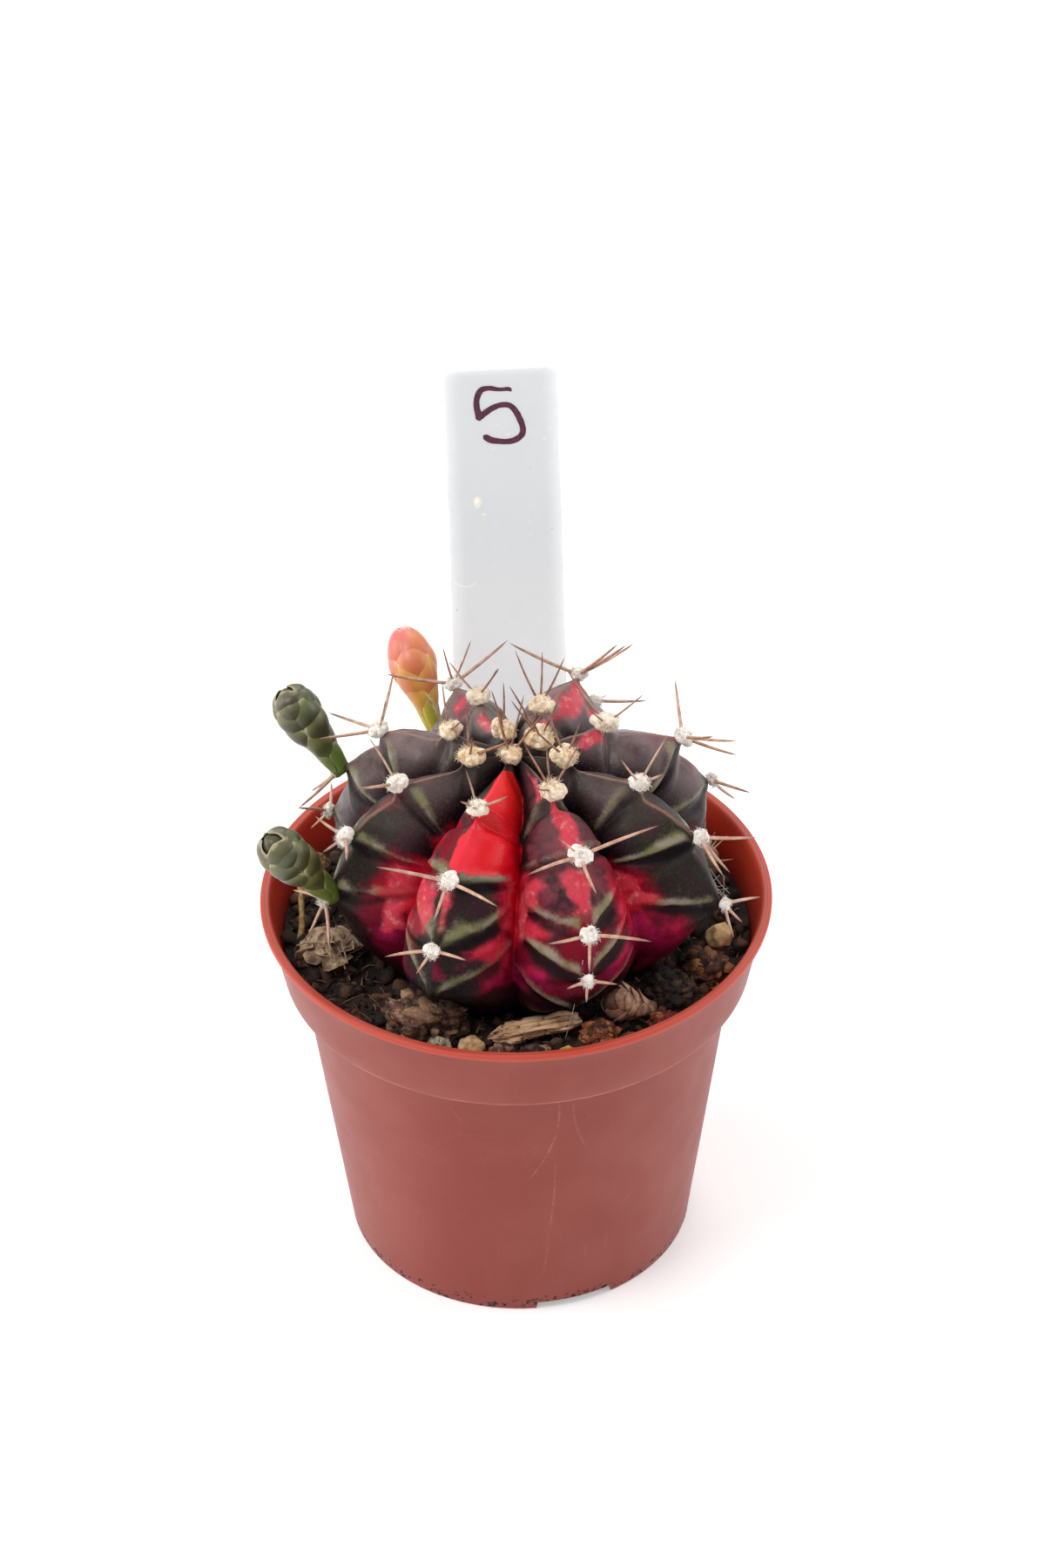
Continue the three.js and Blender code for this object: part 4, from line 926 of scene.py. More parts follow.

# %% [markdown]
# ### Cactus skin
# The dark skin drifts between purple-brown and black-green, with a painted greyish mauve sheen high
# on the plant and at its back, and painted shade in the grooves and low down. The colour is laid on
# like paint: the dark skin, then veils of mauve and wash, magenta, crimson, scarlet and rose, the
# painted shade at the foot, and last the folds, with painted light on their ridges and painted shade
# in their creases, and the tan crest lines. Cloud noise breaks up every edge. The skin is granular
# and dull, and a thin waxy coat catches the light in broad soft highlights, most of all on the red.

# %% Skin finish
PURPLE_BROWN = srgb(54, 30, 38)
OLIVE_BLACK = srgb(38, 38, 28)
SHEEN_MAUVE = srgb(130, 108, 108)
PAINTED_SHADE_BLACK = srgb(14, 6, 10)
BAND_PALE = srgb(152, 142, 122)
BAND_GREEN = srgb(118, 118, 66)
CREST_TAN = srgb(142, 104, 86)
SCARLET = srgb(216, 6, 24)
LIT_SCARLET = srgb(246, 44, 36)
PINK_SCARLET = srgb(238, 64, 84)
CREST_SCARLET = srgb(240, 66, 84)
DEEP_RED = srgb(206, 2, 24)
CRIMSON = srgb(172, 10, 42)
DEEP_CRIMSON = srgb(120, 2, 30)
WASH_RED = srgb(126, 6, 30)
ROSE = srgb(206, 62, 78)
PALE_ROSE = srgb(236, 158, 152)
MAUVE = srgb(126, 56, 68)
MAGENTA = srgb(182, 24, 66)
BRIGHT_MAGENTA = srgb(166, 22, 80)
DEEP_MAGENTA = srgb(98, 6, 32)
DARK_MAGENTA = srgb(72, 0, 26)


def cactus_skin():
    f = Finish("cactus_skin")
    away, from_top = f.stored("across"), f.stored("along")
    band, crease = f.stored("band"), f.stored("crease")
    back = f.axis("Y").rise(-6, 12)
    fine = f.cloud(0.7, 4, 0.65)
    middle = f.cloud(2.6, 4, 0.6, seed=5)
    broad = f.cloud(8, 3, seed=3)

    def patch(name, low, high, ragged=0.5):
        """How strongly a pigment shows, with a ragged edge."""
        return (f.stored(name) + (fine - 0.5) * ragged + (middle - 0.5) * 0.5).rise(low, high)

    # Painted sheen: a paler greyish mauve high on the plant and at its back, where the light falls.
    painted_sheen = from_top.rise(34, 12) * 0.52 + back * 0.72
    painted_sheen = painted_sheen * f.cloud(5.0, 4, 0.6, seed=11).rise(0.12, 0.62)
    painted_sheen = painted_sheen * (from_top.rise(8, 22) * 0.65 + 0.35)
    dark = f.paint(
        PURPLE_BROWN,
        ((broad * 0.5 + middle * 0.5 - away * 0.16).rise(0.34, 0.52), OLIVE_BLACK),
        # The painted sheen, fading towards the grooves.
        (painted_sheen * away.rise(0.95, 0.08), SHEEN_MAUVE),
        # Painted shade: darker towards the grooves and low on the plant.
        (away.rise(0.36, 0.92) * 0.85, PAINTED_SHADE_BLACK),
        (from_top.rise(30, 46) * 0.45, PAINTED_SHADE_BLACK),
        # Fine mauve specks all over, stronger where the sheen is painted.
        (f.cloud(0.45, 3, 0.7, seed=13).rise(0.5, 0.72) * (0.1 + painted_sheen * 0.3), SHEEN_MAUVE),
        (patch("mauve", 0.2, 1.0) * middle.rise(0.3, 0.65) * 0.75, MAUVE))
    wash = f.mix(from_top.rise(40, 47), WASH_RED, DEEP_MAGENTA)
    magenta = f.paint(
        DEEP_MAGENTA,
        (f.cloud(4.0, 3, 0.5, seed=45).rise(0.36, 0.66),
         f.mix(f.cloud(5.0, 2, seed=51).rise(0.4, 0.6), MAGENTA, BRIGHT_MAGENTA)),
        # Painted shade: the magenta darkens low on the plant.
        (from_top.rise(46, 53) * 0.7, DARK_MAGENTA))
    crimson_amount = patch("crimson", 0.2, 0.95)
    crimson = f.paint(
        CRIMSON,
        ((f.cloud(3.0, 4, 0.6, seed=29) * 0.8 + fine * 0.2).rise(0.34, 0.66) * 0.62, ROSE),
        # Painted shade: the crimson darkens low on the plant and towards the grooves.
        (from_top.rise(40, 51) * 0.6, DEEP_CRIMSON),
        (away.rise(0.86, 1.0) * 0.8, DEEP_RED))
    scarlet_amount = patch("scarlet", 0.34, 0.66, 0.4)
    scarlet = f.paint(
        SCARLET,
        # Painted shade: darker towards the grooves.
        (away.rise(0.5, 0.95), DEEP_RED),
        (f.cloud(3.2, 4, 0.6, seed=17).rise(0.5, 0.8) * 0.5, DEEP_RED),
        # Painted highlights: pink spots, a lighter line along the crest and brighter scarlet high on the
        # plant.
        (f.cloud(4.0, 3, 0.6, seed=33).rise(0.52, 0.8) * 0.3, PINK_SCARLET),
        (away.rise(0.26, 0.08) * 0.4, CREST_SCARLET),
        (from_top.rise(21, 9) * 0.6, LIT_SCARLET))
    rose_amount = patch("rose", 0.2, 0.95)
    rose = f.mix(f.cloud(1.6, 3, 0.6, seed=37).rise(0.5, 0.75) * 0.7, ROSE, PALE_ROSE)
    red = (crimson_amount + scarlet_amount + rose_amount).rise(0.1, 0.9)
    pale = f.paint(
        BAND_PALE,
        (f.cloud(3.0, 2, seed=41).rise(0.42, 0.6) * 0.7, BAND_GREEN),
        (red * 0.6, ROSE))
    mottled = f.cloud(0.5, 3, 0.7, seed=47) * 0.7 + middle * 0.7 - 0.7
    crest = (away + (fine - 0.5) * 0.05).rise(0.045, 0.01) * from_top.rise(3, 8)
    colour = f.paint(
        dark,
        (patch("wash", 0.1, 0.8) * (0.55 + middle * 0.6), wash),
        (patch("magenta", 0.3, 1.0) * 0.9, magenta),
        (crimson_amount, crimson),
        (scarlet_amount, scarlet),
        (rose_amount * 0.92, rose),
        # Painted shade: the dark foot of the plant near the soil.
        (patch("shade", 0.2, 0.8) * 0.92, PAINTED_SHADE_BLACK),
        # The folds: their own pale grey-green with painted light on the ridge, then painted shade in the
        # crease.
        ((band + mottled).rise(0.05, 0.95) * (0.86 - red * 0.45), pale),
        ((crease + (fine - 0.5) * 0.3).rise(0.12, 0.85) * (0.92 - red * 0.35), PAINTED_SHADE_BLACK),
        (crest * from_top.rise(42, 26) * (1 - red) * 0.8, CREST_TAN))
    papillae = f.cells(0.3).rise(0.5, 0.1)
    waxy = (back * 0.4 + from_top.rise(34, 8) * 0.25) * away.rise(1.0, 0.4) + scarlet_amount * 0.3
    return f.surface(
        Base_Color=colour, Roughness=0.42 - red * 0.14 + (fine - 0.5) * 0.16,
        Normal=f.bump(papillae * 0.6 + fine * 1.5 + f.cloud(1.8, 3, seed=19) * 1.5, 0.06),
        Specular_IOR_Level=0.08, Coat_Weight=waxy, Coat_Roughness=0.32)


finish_piece("cactus_skin", skin_mesh, cactus_skin(), "cactus")

# %% [markdown]
# ## Wool
# An areole is a cushion of felted hair. From far off it is a white ball, from near it is a lump
# with ragged strands. A smooth ball would look like plastic and loose hair alone would let the
# light through, so each tuft is three lumps with some two hundred curled hairs over them. Young
# wool near the apex is cream to straw coloured and fuller, older wool is white and worn.

# %% Wool tufts
WOOL_RADIUS, WOOL_FLAT, WOOL_RISE, WOOL_SLIP = 1.62, 0.82, 0.35, 2.1
WOOL_HAIRS, HAIR_STEPS, HAIR_RADIUS = 210, 5, 0.055
WOOL_LUMPS = ((4, 0.9, 0.0), (3, 0.7, 0.55), (3, 0.62, 0.6))  # detail, size and place as shares
BUD_AREOLES = {("H", 3), ("G", 2), ("F", 3)}
BARE_AREOLES = {("A", 4), ("B", 4)}
AREOLES = [(rib, n, along) for rib in NAMES for n, along in enumerate(RIBS[rib][3])
           if (rib, n) not in BARE_AREOLES]


def wool_centre(rib, n, along):
    place, down, out, right = crest_frame(rib, along)
    slip = WOOL_SLIP if (rib, n) in BUD_AREOLES else 0
    return place + out * WOOL_RISE + down * slip, down, out, right


def standing(points, centre, down, out, right):
    """Points of an upright tuft, set on the skin: X goes right, Y out and Z down the rib."""
    return centre + points[..., :1] * right + points[..., 1:2] * out + points[..., 2:] * down


def add_tuft(heap, number, rib, n, along):
    centre, down, out, right = wool_centre(rib, n, along)
    age = float(smoothstep(along, 6, 26))
    worn = 0.72 if (rib, n) in BUD_AREOLES else 1 - 0.32 * float(smoothstep(along, 36, 44))
    size = WOOL_RADIUS * (0.9 + 0.2 * draw(number, 3, 9)) * (1.36 - 0.36 * age) * worn
    for lump, (detail, share, apart) in enumerate(WOOL_LUMPS):
        points, faces = ball(detail)
        bumpy = points * (1 + 0.22 * layered(points, 0.8, number * 3.1 + lump, 3))[:, None]
        spin, apart = 6.28 * draw(number, lump, 61), apart * size
        aside = right * math.cos(spin) * apart + down * math.sin(spin) * apart + out * 0.15 * lump
        shape = bumpy * size * (1, WOOL_FLAT, 1) * share
        heap.add(standing(shape, centre + aside, down, out, right), faces, age=age, tip=0.0)
    seeds = np.arange(WOOL_HAIRS)
    chance = [draw(seeds, number, k) for k in range(7)]
    up, spin = chance[1] * 1.25 - 0.25, chance[2] * 2 * np.pi
    level = np.sqrt(1 - np.clip(up, -1, 1) ** 2)
    start = np.stack([level * np.cos(spin), up * WOOL_FLAT, level * np.sin(spin)], -1)
    comb = np.stack([chance[3] - 0.5, chance[4] - 0.45, chance[5] - 0.3], -1)
    course = unit(unit(start) * 0.3 + comb * 1.8)
    curl = unit(np.cross(course, unit(start)))
    length = (0.45 + 0.5 * chance[6] ** 2)[:, None]
    t = np.linspace(0, 1, HAIR_STEPS)
    path = start[:, None] * size * 0.88 + course[:, None] * (length * t)[..., None]
    path = path + curl[:, None] * (np.sin(t * 2.6)[None] * length * 0.45)[..., None]
    radii = HAIR_RADIUS * (1.1 - 0.8 * t) * np.ones((WOOL_HAIRS, 1))
    points, faces, share = tubes(standing(path, centre, down, out, right), radii, 3)
    heap.add(points, faces, age=age, tip=share)


wool = Heap()
for number, areole in enumerate(AREOLES):
    add_tuft(wool, number, *areole)
wool_mesh = wool.mesh("cactus_wool")
print("wool:", len(AREOLES), "areoles,", len(wool_mesh.polygons), "faces")


def wool_finish():
    f = Finish("cactus_wool")
    old = f.mix(f.cloud(0.6, 3).rise(0.35, 0.7), srgb(248, 244, 238), srgb(226, 214, 198))
    young = f.mix(f.cloud(0.7, 3, seed=5).rise(0.35, 0.65), srgb(246, 232, 206), srgb(212, 172, 118))
    colour = f.paint(young, (f.stored("age"), old), (f.stored("tip") * 0.3, srgb(255, 252, 246)))
    return f.surface(Base_Color=colour, Roughness=0.95, Normal=f.bump(f.cloud(0.18, 3, 0.7), 0.06))


finish_piece("cactus_wool", wool_mesh, wool_finish(), "cactus")

# %% [markdown]
# ## Spines
# Each areole carries three to six spines. Their way was measured where the photograph shows them:
# a turn round the areole from the way down the rib towards the right, a rise out from the skin,
# and a length in mm. Ribs at the back that can't be measured share a few usual fans. A spine is a
# slim tube that bows a little and ends in a fine point. A real one is tan, darker at its tip. One
# thread of cobweb hangs from the second rib to the soil.

# %% Spines
FAN_APEX = [(-120, 58, 8), (115, 55, 9), (-20, 62, 7), (175, 66, 9)]
FAN_UPPER = [(-105, 35, 9), (100, 32, 10), (-155, 52, 8), (5, 40, 7)]
FAN_MIDDLE = [(-92, 20, 10.5), (88, 18, 10.5), (-150, 44, 8), (0, 26, 8.5)]
FAN_LOWER = [(-88, 16, 8), (86, 15, 8), (4, 26, 6.5)]
FAN_ABOVE_BUD = [(-92, 20, 11), (88, 18, 11), (-150, 44, 8), (160, 44, 8)]
FAN_UNDER_BUD = [(-66, 8, 8.5), (64, 8, 8.5), (2, 12, 6.5)]
FAN_OVER_RIM = [(-88, 20, 7), (86, 20, 7), (4, 66, 4)]
FANS = {
    "A1": [(-140, 41, 5.5), (98, 30, 5.6), (-60, 35, 2.6), (10, 43, 3.4)],
    "A2": [(-85, 20, 10.7), (76, 15, 10.3), (6, 25, 7.6)],
    "A3": [(-75, 17, 6.9), (97, 17, 6.5), (-22, 30, 3.8)],
    "B0": [(108, 44, 8.6), (-53, 37, 7.0), (-140, 56, 8.5), (165, 50, 6.0)],
    "B1": [(88, 21, 12.5), (-79, 19, 11.2), (-10, 27, 9), (-124, 40, 5.4)],
    "B2": [(-99, 20, 8.2), (74, 15, 9.1), (-21, 25, 5.6)],
    "B3": [(-99, 22, 4), (81, 20, 4.1), (-20, 30, 2.8)],
    "C0": [(-128, 50, 8.6), (74, 52, 5.6), (160, 60, 8)],
    "C1": [(-130, 44, 8.6), (90, 41, 8.1), (40, 32, 3.4)],
    "C2": [(48, 20, 10), (-10, 14, 6.8), (-63, 30, 9.6)],
    "C3": [(67, 22, 7.6), (24, 16, 5.2), (-35, 22, 5)],
    "D1": [(131, 40, 10), (-8, 40, 7), (-155, 42, 5.5)],
    "D2": [(98, 25, 10), (0, 22, 9.7), (-72, 22, 10), (-113, 22, 11)],
    "D3": [(-100, 19, 8.5), (22, 17, 11)],
    "E0": [(60, 44, 9), (20, 44, 8), (-30, 55, 8)],
    "E1": [(110, 8, 12), (-38, 33, 11), (-128, 26, 12.5), (-140, 22, 14)],
    "E2": [(-77, 20, 8), (80, 20, 8), (0, 44, 5)],
    "F0": [(10, 54, 6), (-20, 56, 7), (150, 62, 9)],
    "F1": [(-79, 36, 5), (33, 41, 6.7), (-165, 50, 9)],
    "F3": [(-30, 16, 4.5), (64, 8, 8.5), (2, 12, 6.5)],
    "G0": [(-60, 42, 7.2), (-24, 39, 6), (134, 40, 8)],
    "G1": [(-98, 24, 9.8), (-14, 21, 9.6), (48, 23, 9.5), (165, 42, 7)],
    "G3": [(122, 22, 7), (-88, 18, 7), (4, 30, 5)],
    "H0": [(74, 52, 9.5), (127, 34, 9), (-110, 56, 8)],
    "H1": [(18, 34, 7.6), (-88, 38, 8)],
    "H2": [(-80, 15, 6.4), (92, 21, 9), (-12, 16, 4)],
}
SPINE_RADIUS, SPINE_BOW, SPINE_STEPS, SPINE_SIDES = 0.31, 0.07, 10, 8
THREAD_RIB, THREAD_ALONG, THREAD_FOOT, THREAD_STEPS = "B", 43.5, np.array([7.6, -31.6, 61.8]), 24


def fan_at(rib, n, along):
    """The spines of an areole, as measured or else as usual for its place."""
    if f"{rib}{n}" in FANS:
        return FANS[f"{rib}{n}"]
    if (rib, n) in BUD_AREOLES:
        return FAN_UNDER_BUD
    if (rib, n + 1) in BUD_AREOLES:
        return FAN_ABOVE_BUD
    if along < 11:
        return FAN_APEX
    if along < 23:
        return FAN_UPPER
    if along < 36:
        return FAN_MIDDLE
    return FAN_OVER_RIM if along > 49 else FAN_LOWER


def spine_paths(centre, down, out, right, fan, seed):
    t = np.linspace(0, 1, SPINE_STEPS)
    paths, radii = [], []
    for n, (turn, rise, length) in enumerate(fan):
        turn, rise = math.radians(turn), math.radians(rise)
        way = out * math.sin(rise) + (down * math.cos(turn) + right * math.sin(turn)) * math.cos(rise)
        wave = (draw(seed, n, 5) - 0.5) * 0.05 * length * np.sin(t * 3.1)
        side = unit(np.cross(way, out))
        bow = out * (SPINE_BOW * length * t**2)[:, None]
        path = centre + way * 0.6 + way * (length * t)[:, None] + bow
        paths.append(path + side * wave[:, None])
        slim = 1 if math.degrees(rise) < 36 else 0.68
        base = SPINE_RADIUS * (0.72 + 0.28 * min(1, length / 9)) * slim
        radii.append(base * (1 - 0.12 * t) * np.sqrt(np.clip(1 - t**3.2, 0.0025, 1)))
    return np.array(paths), np.array(radii)


spines = Heap()
for number, (rib, n, along) in enumerate(AREOLES):
    centre, down, out, right = wool_centre(rib, n, along)
    paths, radii = spine_paths(centre, down, out, right, fan_at(rib, n, along), number)
    points, faces, share = tubes(paths, radii, SPINE_SIDES)
    spines.add(points, faces, tip=share, young=1 - smoothstep(along, 10, 24))
t = np.linspace(0, 1, THREAD_STEPS)[:, None]
thread_top = crest_frame(THREAD_RIB, THREAD_ALONG)[0] + (-0.6, -0.4, 0)
thread = thread_top + (THREAD_FOOT - thread_top) * t + (0.25, 0, 0) * np.sin(t * 3.1)
spines.add_tube(thread, 0.03, 4, tip=0.0, young=-1.0)
spine_mesh = spines.mesh("cactus_spines")
print("spines:", len(spine_mesh.polygons) // ((SPINE_STEPS - 1) * SPINE_SIDES + 2))


def spine_finish():
    f = Finish("cactus_spines")
    young = f.stored("young")
    old = f.mix(f.cloud(1.2, 3).rise(0.3, 0.7), srgb(212, 172, 148), srgb(178, 134, 110))
    fresh = f.mix(f.cloud(1.2, 3, seed=4).rise(0.3, 0.7), srgb(168, 118, 86), srgb(112, 70, 54))
    cobweb = srgb(228, 222, 218)
    colour = f.paint(
        old, (young.rise(-0.2, -0.8), cobweb), (young, fresh),
        (f.stored("tip").rise(0.6, 1.0) * 0.7, srgb(104, 58, 46)))
    grain = f.cloud(0.25, 3, stretch=(1, 1, 2))
    return f.surface(Base_Color=colour, Roughness=0.42, Normal=f.bump(grain, 0.02))


finish_piece("cactus_spines", spine_mesh, spine_finish(), "cactus")

# %% [markdown]
# ## Flower buds
# A bud is a swelling stalk wrapped in overlapping scales, which are leaves that never opened. Each
# scale is a thin curved shell laid over the core, fixed at its lower end and free at its edge, so
# that the edges throw fine shadows. The rows are turned by half a scale from each other. Green buds
# have blunt scales with pale rims, the pink one has longer petals that close to a point.

# %% Bud shape
def bud_core(share, stalk, head, tip_from, blunt):
    """The radius of a bud along its axis: a thin stalk, a thick head and a rounded tip."""
    close = np.clip((share - tip_from) / (1 - tip_from), 0, 1)
    swell = stalk + (head - stalk) * smoothstep(share, 0.05, 0.68)
    return swell * np.sqrt(np.clip(1 - close**blunt, 0, 1))


def axis_frame(base, tip):
    axis = unit(tip - base)
    side = unit(np.cross(axis, (0.3, 0.2, 1.0)))
    return axis, side, np.cross(axis, side)


def round_axis(side, over, turn):
    """The ways out from an axis, at turns round it."""
    return side * np.cos(turn)[..., None] + over * np.sin(turn)[..., None]


SCALE_STEPS, SCALE_THICK, BUD_RINGS, BUD_SIDES, BUD_ROOT = 17, 0.34, 40, 40, 0.8


def shell(outer, inner, rows, columns):
    """Two sheets of points, joined at their edges into one closed thin shell."""
    size = rows * columns
    at = lambda sheet, i, j: sheet * size + i * columns + j
    faces = []
    for i in range(rows - 1):
        for j in range(columns - 1):
            faces.append((at(0, i, j), at(0, i + 1, j), at(0, i + 1, j + 1), at(0, i, j + 1)))
            faces.append((at(1, i, j), at(1, i, j + 1), at(1, i + 1, j + 1), at(1, i + 1, j)))
    rim = [(0, j) for j in range(columns)] + [(i, columns - 1) for i in range(1, rows)]
    rim += [(rows - 1, j) for j in range(columns - 2, -1, -1)]
    rim += [(i, 0) for i in range(rows - 2, 0, -1)]
    for (a, b), (c, d) in zip(rim, rim[1:] + rim[:1]):
        faces.append((at(0, a, b), at(0, c, d), at(1, c, d), at(1, a, b)))
    return np.concatenate([outer.reshape(-1, 3), inner.reshape(-1, 3)]), faces


def add_scale(heap, frame_of, core, spot, seed, wide, length, lift, pointed, flare):
    """One scale of a bud, from a spot (share along the bud, turn round it) towards its tip."""
    base, long_axis, size, side, over = frame_of
    start, centre = spot
    v = np.linspace(0, 1, SCALE_STEPS)[:, None]
    w = np.linspace(-1, 1, SCALE_STEPS)[None]
    outline = np.sqrt(np.clip(1 - v ** (3.4 - 1.7 * pointed), 0, 1)) * (0.8 + 0.45 * np.sin(np.pi * v))
    turn = centre + wide * w * outline
    share = np.clip(start + length * v, 0, 0.995) + 0 * w
    rim = np.maximum(np.abs(w), v**1.6)
    wave = 0.07 * noise(seed + 2.2 * w, 3.0 * v, 1.7)
    puff = lift * 0.9 * (1 - w**2) * np.sin(np.pi * np.clip(v, 0, 0.92))
    radius = core(share) + lift * (0.1 + 0.9 * v) + puff + wave + flare * v**3

    def sheet(r):
        way_out = round_axis(side, over, turn)
        return base + long_axis * (share * size)[..., None] + way_out * r[..., None]

    depth = SCALE_THICK * (1 - 0.6 * rim**6)
    points, faces = shell(sheet(radius), sheet(radius - depth), SCALE_STEPS, SCALE_STEPS)
    both = lambda values: np.tile((values + 0 * w).ravel(), 2)
    right = 0.5 + 0.5 * round_axis(side, over, turn)[..., 0] + 0.7 * (draw(seed, 1, 23) - 0.5)
    heap.add(points, faces, rim=both(rim), share=both(share), root=both(v), right=both(right))


def make_bud(name, base, tip, stalk, head, rows, seed, pointed, lift, tip_from, blunt, flare=0.0):
    """A bud as one mesh. Rows are (share, scales, half width as a turn, length as a share)."""
    heap = Heap()
    axis, side, over = axis_frame(base, tip)
    size = float(np.linalg.norm(tip - base))
    inner = lambda share: np.maximum(bud_core(share, stalk, head, tip_from, blunt) - 0.45, 0.02)
    turn = np.arange(BUD_SIDES) * 2 * np.pi / BUD_SIDES
    shares = np.linspace(0, 0.985, BUD_RINGS)
    points = [base - axis * BUD_ROOT]
    for share in shares:
        bumps = 0.06 * noise(3 * np.cos(turn) + seed, 3 * np.sin(turn), share * 9)
        middle = base + axis * (share * size - (BUD_ROOT if share == 0 else 0))
        points.extend(middle + round_axis(side, over, turn) * (inner(share) + bumps)[:, None])
    points.append(base + axis * size * 0.99)
    share = np.concatenate([[0], np.repeat(shares, BUD_SIDES), [1]])
    heap.add(points, ring_faces(BUD_RINGS, BUD_SIDES), rim=0.55, share=share, root=0.5, right=0.5)
    frame_of = (base, axis, size, side, over)
    for number, (start, count, wide, length) in enumerate(rows):
        for n in range(count):
            centre = (n + 0.5 * (number % 2)) * 2 * np.pi / count + 0.12 * (draw(seed, number, n) - 0.5)
            own = start + 0.03 * (draw(seed, n, number + 9) - 0.5)
            own_lift = lift * (0.4 + 0.6 * float(smoothstep(start, 0.05, 0.45)))
            add_scale(heap, frame_of, inner, (own, centre), seed + 5 * number + n, wide, length,
                      own_lift, pointed, flare)
    mesh = heap.mesh(name)
    print(name, len(mesh.polygons), "faces, scales:", sum(row[1] for row in rows))
    return mesh


GREEN_ROWS = [(0.0, 3, 0.95, 0.3), (0.16, 3, 1.0, 0.36), (0.33, 3, 1.05, 0.38), (0.5, 4, 0.88, 0.36),
              (0.65, 4, 0.9, 0.3), (0.77, 3, 1.15, 0.22)]
PINK_ROWS = [(0.0, 3, 0.9, 0.3), (0.15, 3, 0.95, 0.36), (0.3, 4, 0.85, 0.38), (0.42, 4, 0.9, 0.42),
             (0.54, 3, 1.15, 0.45), (0.6, 3, 1.2, 0.395)]
BUDS = {  # base and tip as (azimuth, radius, height), then what make_bud takes
    "bud_green_lower": ((292.5, 32.6, 77.4), (292.5, 43.2, 92.1), 2.1, 3.4, GREEN_ROWS, 3,
                        0.25, 0.8, 0.68, 2.2),
    "bud_green_upper": ((247.5, 31.2, 84.5), (247.5, 41.2, 98), 2.0, 3.35, GREEN_ROWS, 8,
                        0.25, 0.8, 0.68, 2.2),
    "bud_pink": ((206, 29.9, 80.7), (206, 43.1, 93.9), 1.8, 3.85, PINK_ROWS, 5,
                 0.6, 0.6, 0.54, 1.9),
}
# The darker right side of the stalks and of the green head is painted shade; the pink head turns from
# pink to orange.
BUD_LOOKS = {  # each part as (left, right) where its two sides differ
    "bud_green": {
        "stalk": (srgb(112, 122, 54), srgb(88, 108, 36)), "low": srgb(106, 110, 50),
        "head": (srgb(114, 110, 64), srgb(92, 100, 50)), "tip": srgb(92, 78, 60),
        "rim": srgb(176, 168, 126), "dark": srgb(50, 50, 24), "rim_from": 0.76, "root_to": 0.7,
        "head_from": 0.46},
    "bud_pink": {
        "stalk": (srgb(204, 176, 44), srgb(128, 134, 16)), "low": srgb(222, 164, 66),
        "head": (srgb(228, 116, 114), srgb(230, 156, 92)), "tip": srgb(224, 106, 118),
        "rim": srgb(244, 210, 184), "dark": srgb(214, 104, 74), "rim_from": 0.8, "root_to": 0.42,
        "head_from": 0.54},
}


def bud_finish(name, stalk, low, head, tip, rim, dark, rim_from, root_to, head_from):
    f = Finish(name)
    share, edge, root, right = f.stored("share"), f.stored("rim"), f.stored("root"), f.stored("right")
    fine = f.cloud(0.5, 3, 0.6, seed=2)
    lines = f.cloud(0.7, 4, 0.6, stretch=(2.2, 2.2, 0.5), seed=9)
    spread = lambda wire, size, seed, amount: wire + (f.cloud(size, 2, seed=seed) - 0.5) * amount
    # Painted shade: the stalk and the green head are darker on their right side.
    head_colour = f.mix(spread(right, 2.2, 14, 0.4).rise(0.3, 0.8), *head)
    under_edge = edge.rise(0.85, 0.2) * share.rise(0.2, 0.5)
    colour = f.paint(
        f.mix(right, *stalk),
        (spread(share, 2, 0, 0.2).rise(0.14, 0.42), low),
        (spread(share, 2.5, 6, 0.3).rise(head_from, head_from + 0.26), head_colour),
        ((share + (lines - 0.5) * 0.15).rise(0.8, 1.0) * 0.85, tip),
        (under_edge * (0.6 + lines * 0.4), dark),
        # Painted shade: darker at the foot of each scale, under the edge of the row before.
        (root.rise(root_to, root_to - 0.3) * 0.75 * share.rise(0.12, 0.3), dark),
        ((edge + (fine - 0.5) * 0.2).rise(rim_from, 0.98) * share.rise(0.08, 0.4) * 0.8, rim))
    return f.surface(
        Base_Color=colour, Roughness=0.36 + fine * 0.2, Normal=f.bump(fine + lines, 0.02),
        Subsurface_Weight=0.12, Subsurface_Scale=0.001, Subsurface_Radius=(1.0, 0.7, 0.3),
        Coat_Weight=0.3, Coat_Roughness=0.28)


for name, (base, tip, stalk, head, rows, seed, *shape) in BUDS.items():
    look = "bud_pink" if "pink" in name else "bud_green"
    mesh = make_bud(name + "_scales", polar(*base), polar(*tip), stalk, head, rows, seed, *shape)
    finish_piece(name + "_scales", mesh, bud_finish(look, **BUD_LOOKS[look]), name)

# %% [markdown]
# ## The label
# The label is a strip cut by hand from white sheet plastic, so its edges aren't quite straight and
# it leans back behind the plant. The outline is drawn flat, gets many points along its edges, and
# is stood up by two directions. The number on it is a pen stroke of its own: a ribbon a few
# hundredths of a millimetre thick that follows the hand's path, wider where the pen turned and
# rested. A few stains of dried soil are painted as soft ovals.

# %% Label
LABEL_LEFT = [(-10.6, 84), (-10.2, 50), (-10, 25), (-9.9, -9), (-1.2, -28)]
LABEL_RIGHT = [(7.9, 84.7), (8.7, 50), (9.3, 20), (9.5, -9), (0.8, -28)]
LABEL_PIVOT, LABEL_LEAN, LABEL_THICK = np.array([0, 33.0, 60.0]), math.radians(5), 0.6
LABEL_ROWS, LABEL_COLUMNS, CUT_EDGE = 90, 9, 0.12
LABEL_UP = np.array([0, math.sin(LABEL_LEAN), math.cos(LABEL_LEAN)])
LABEL_FRONT = np.array([0, -math.cos(LABEL_LEAN), math.sin(LABEL_LEAN)])


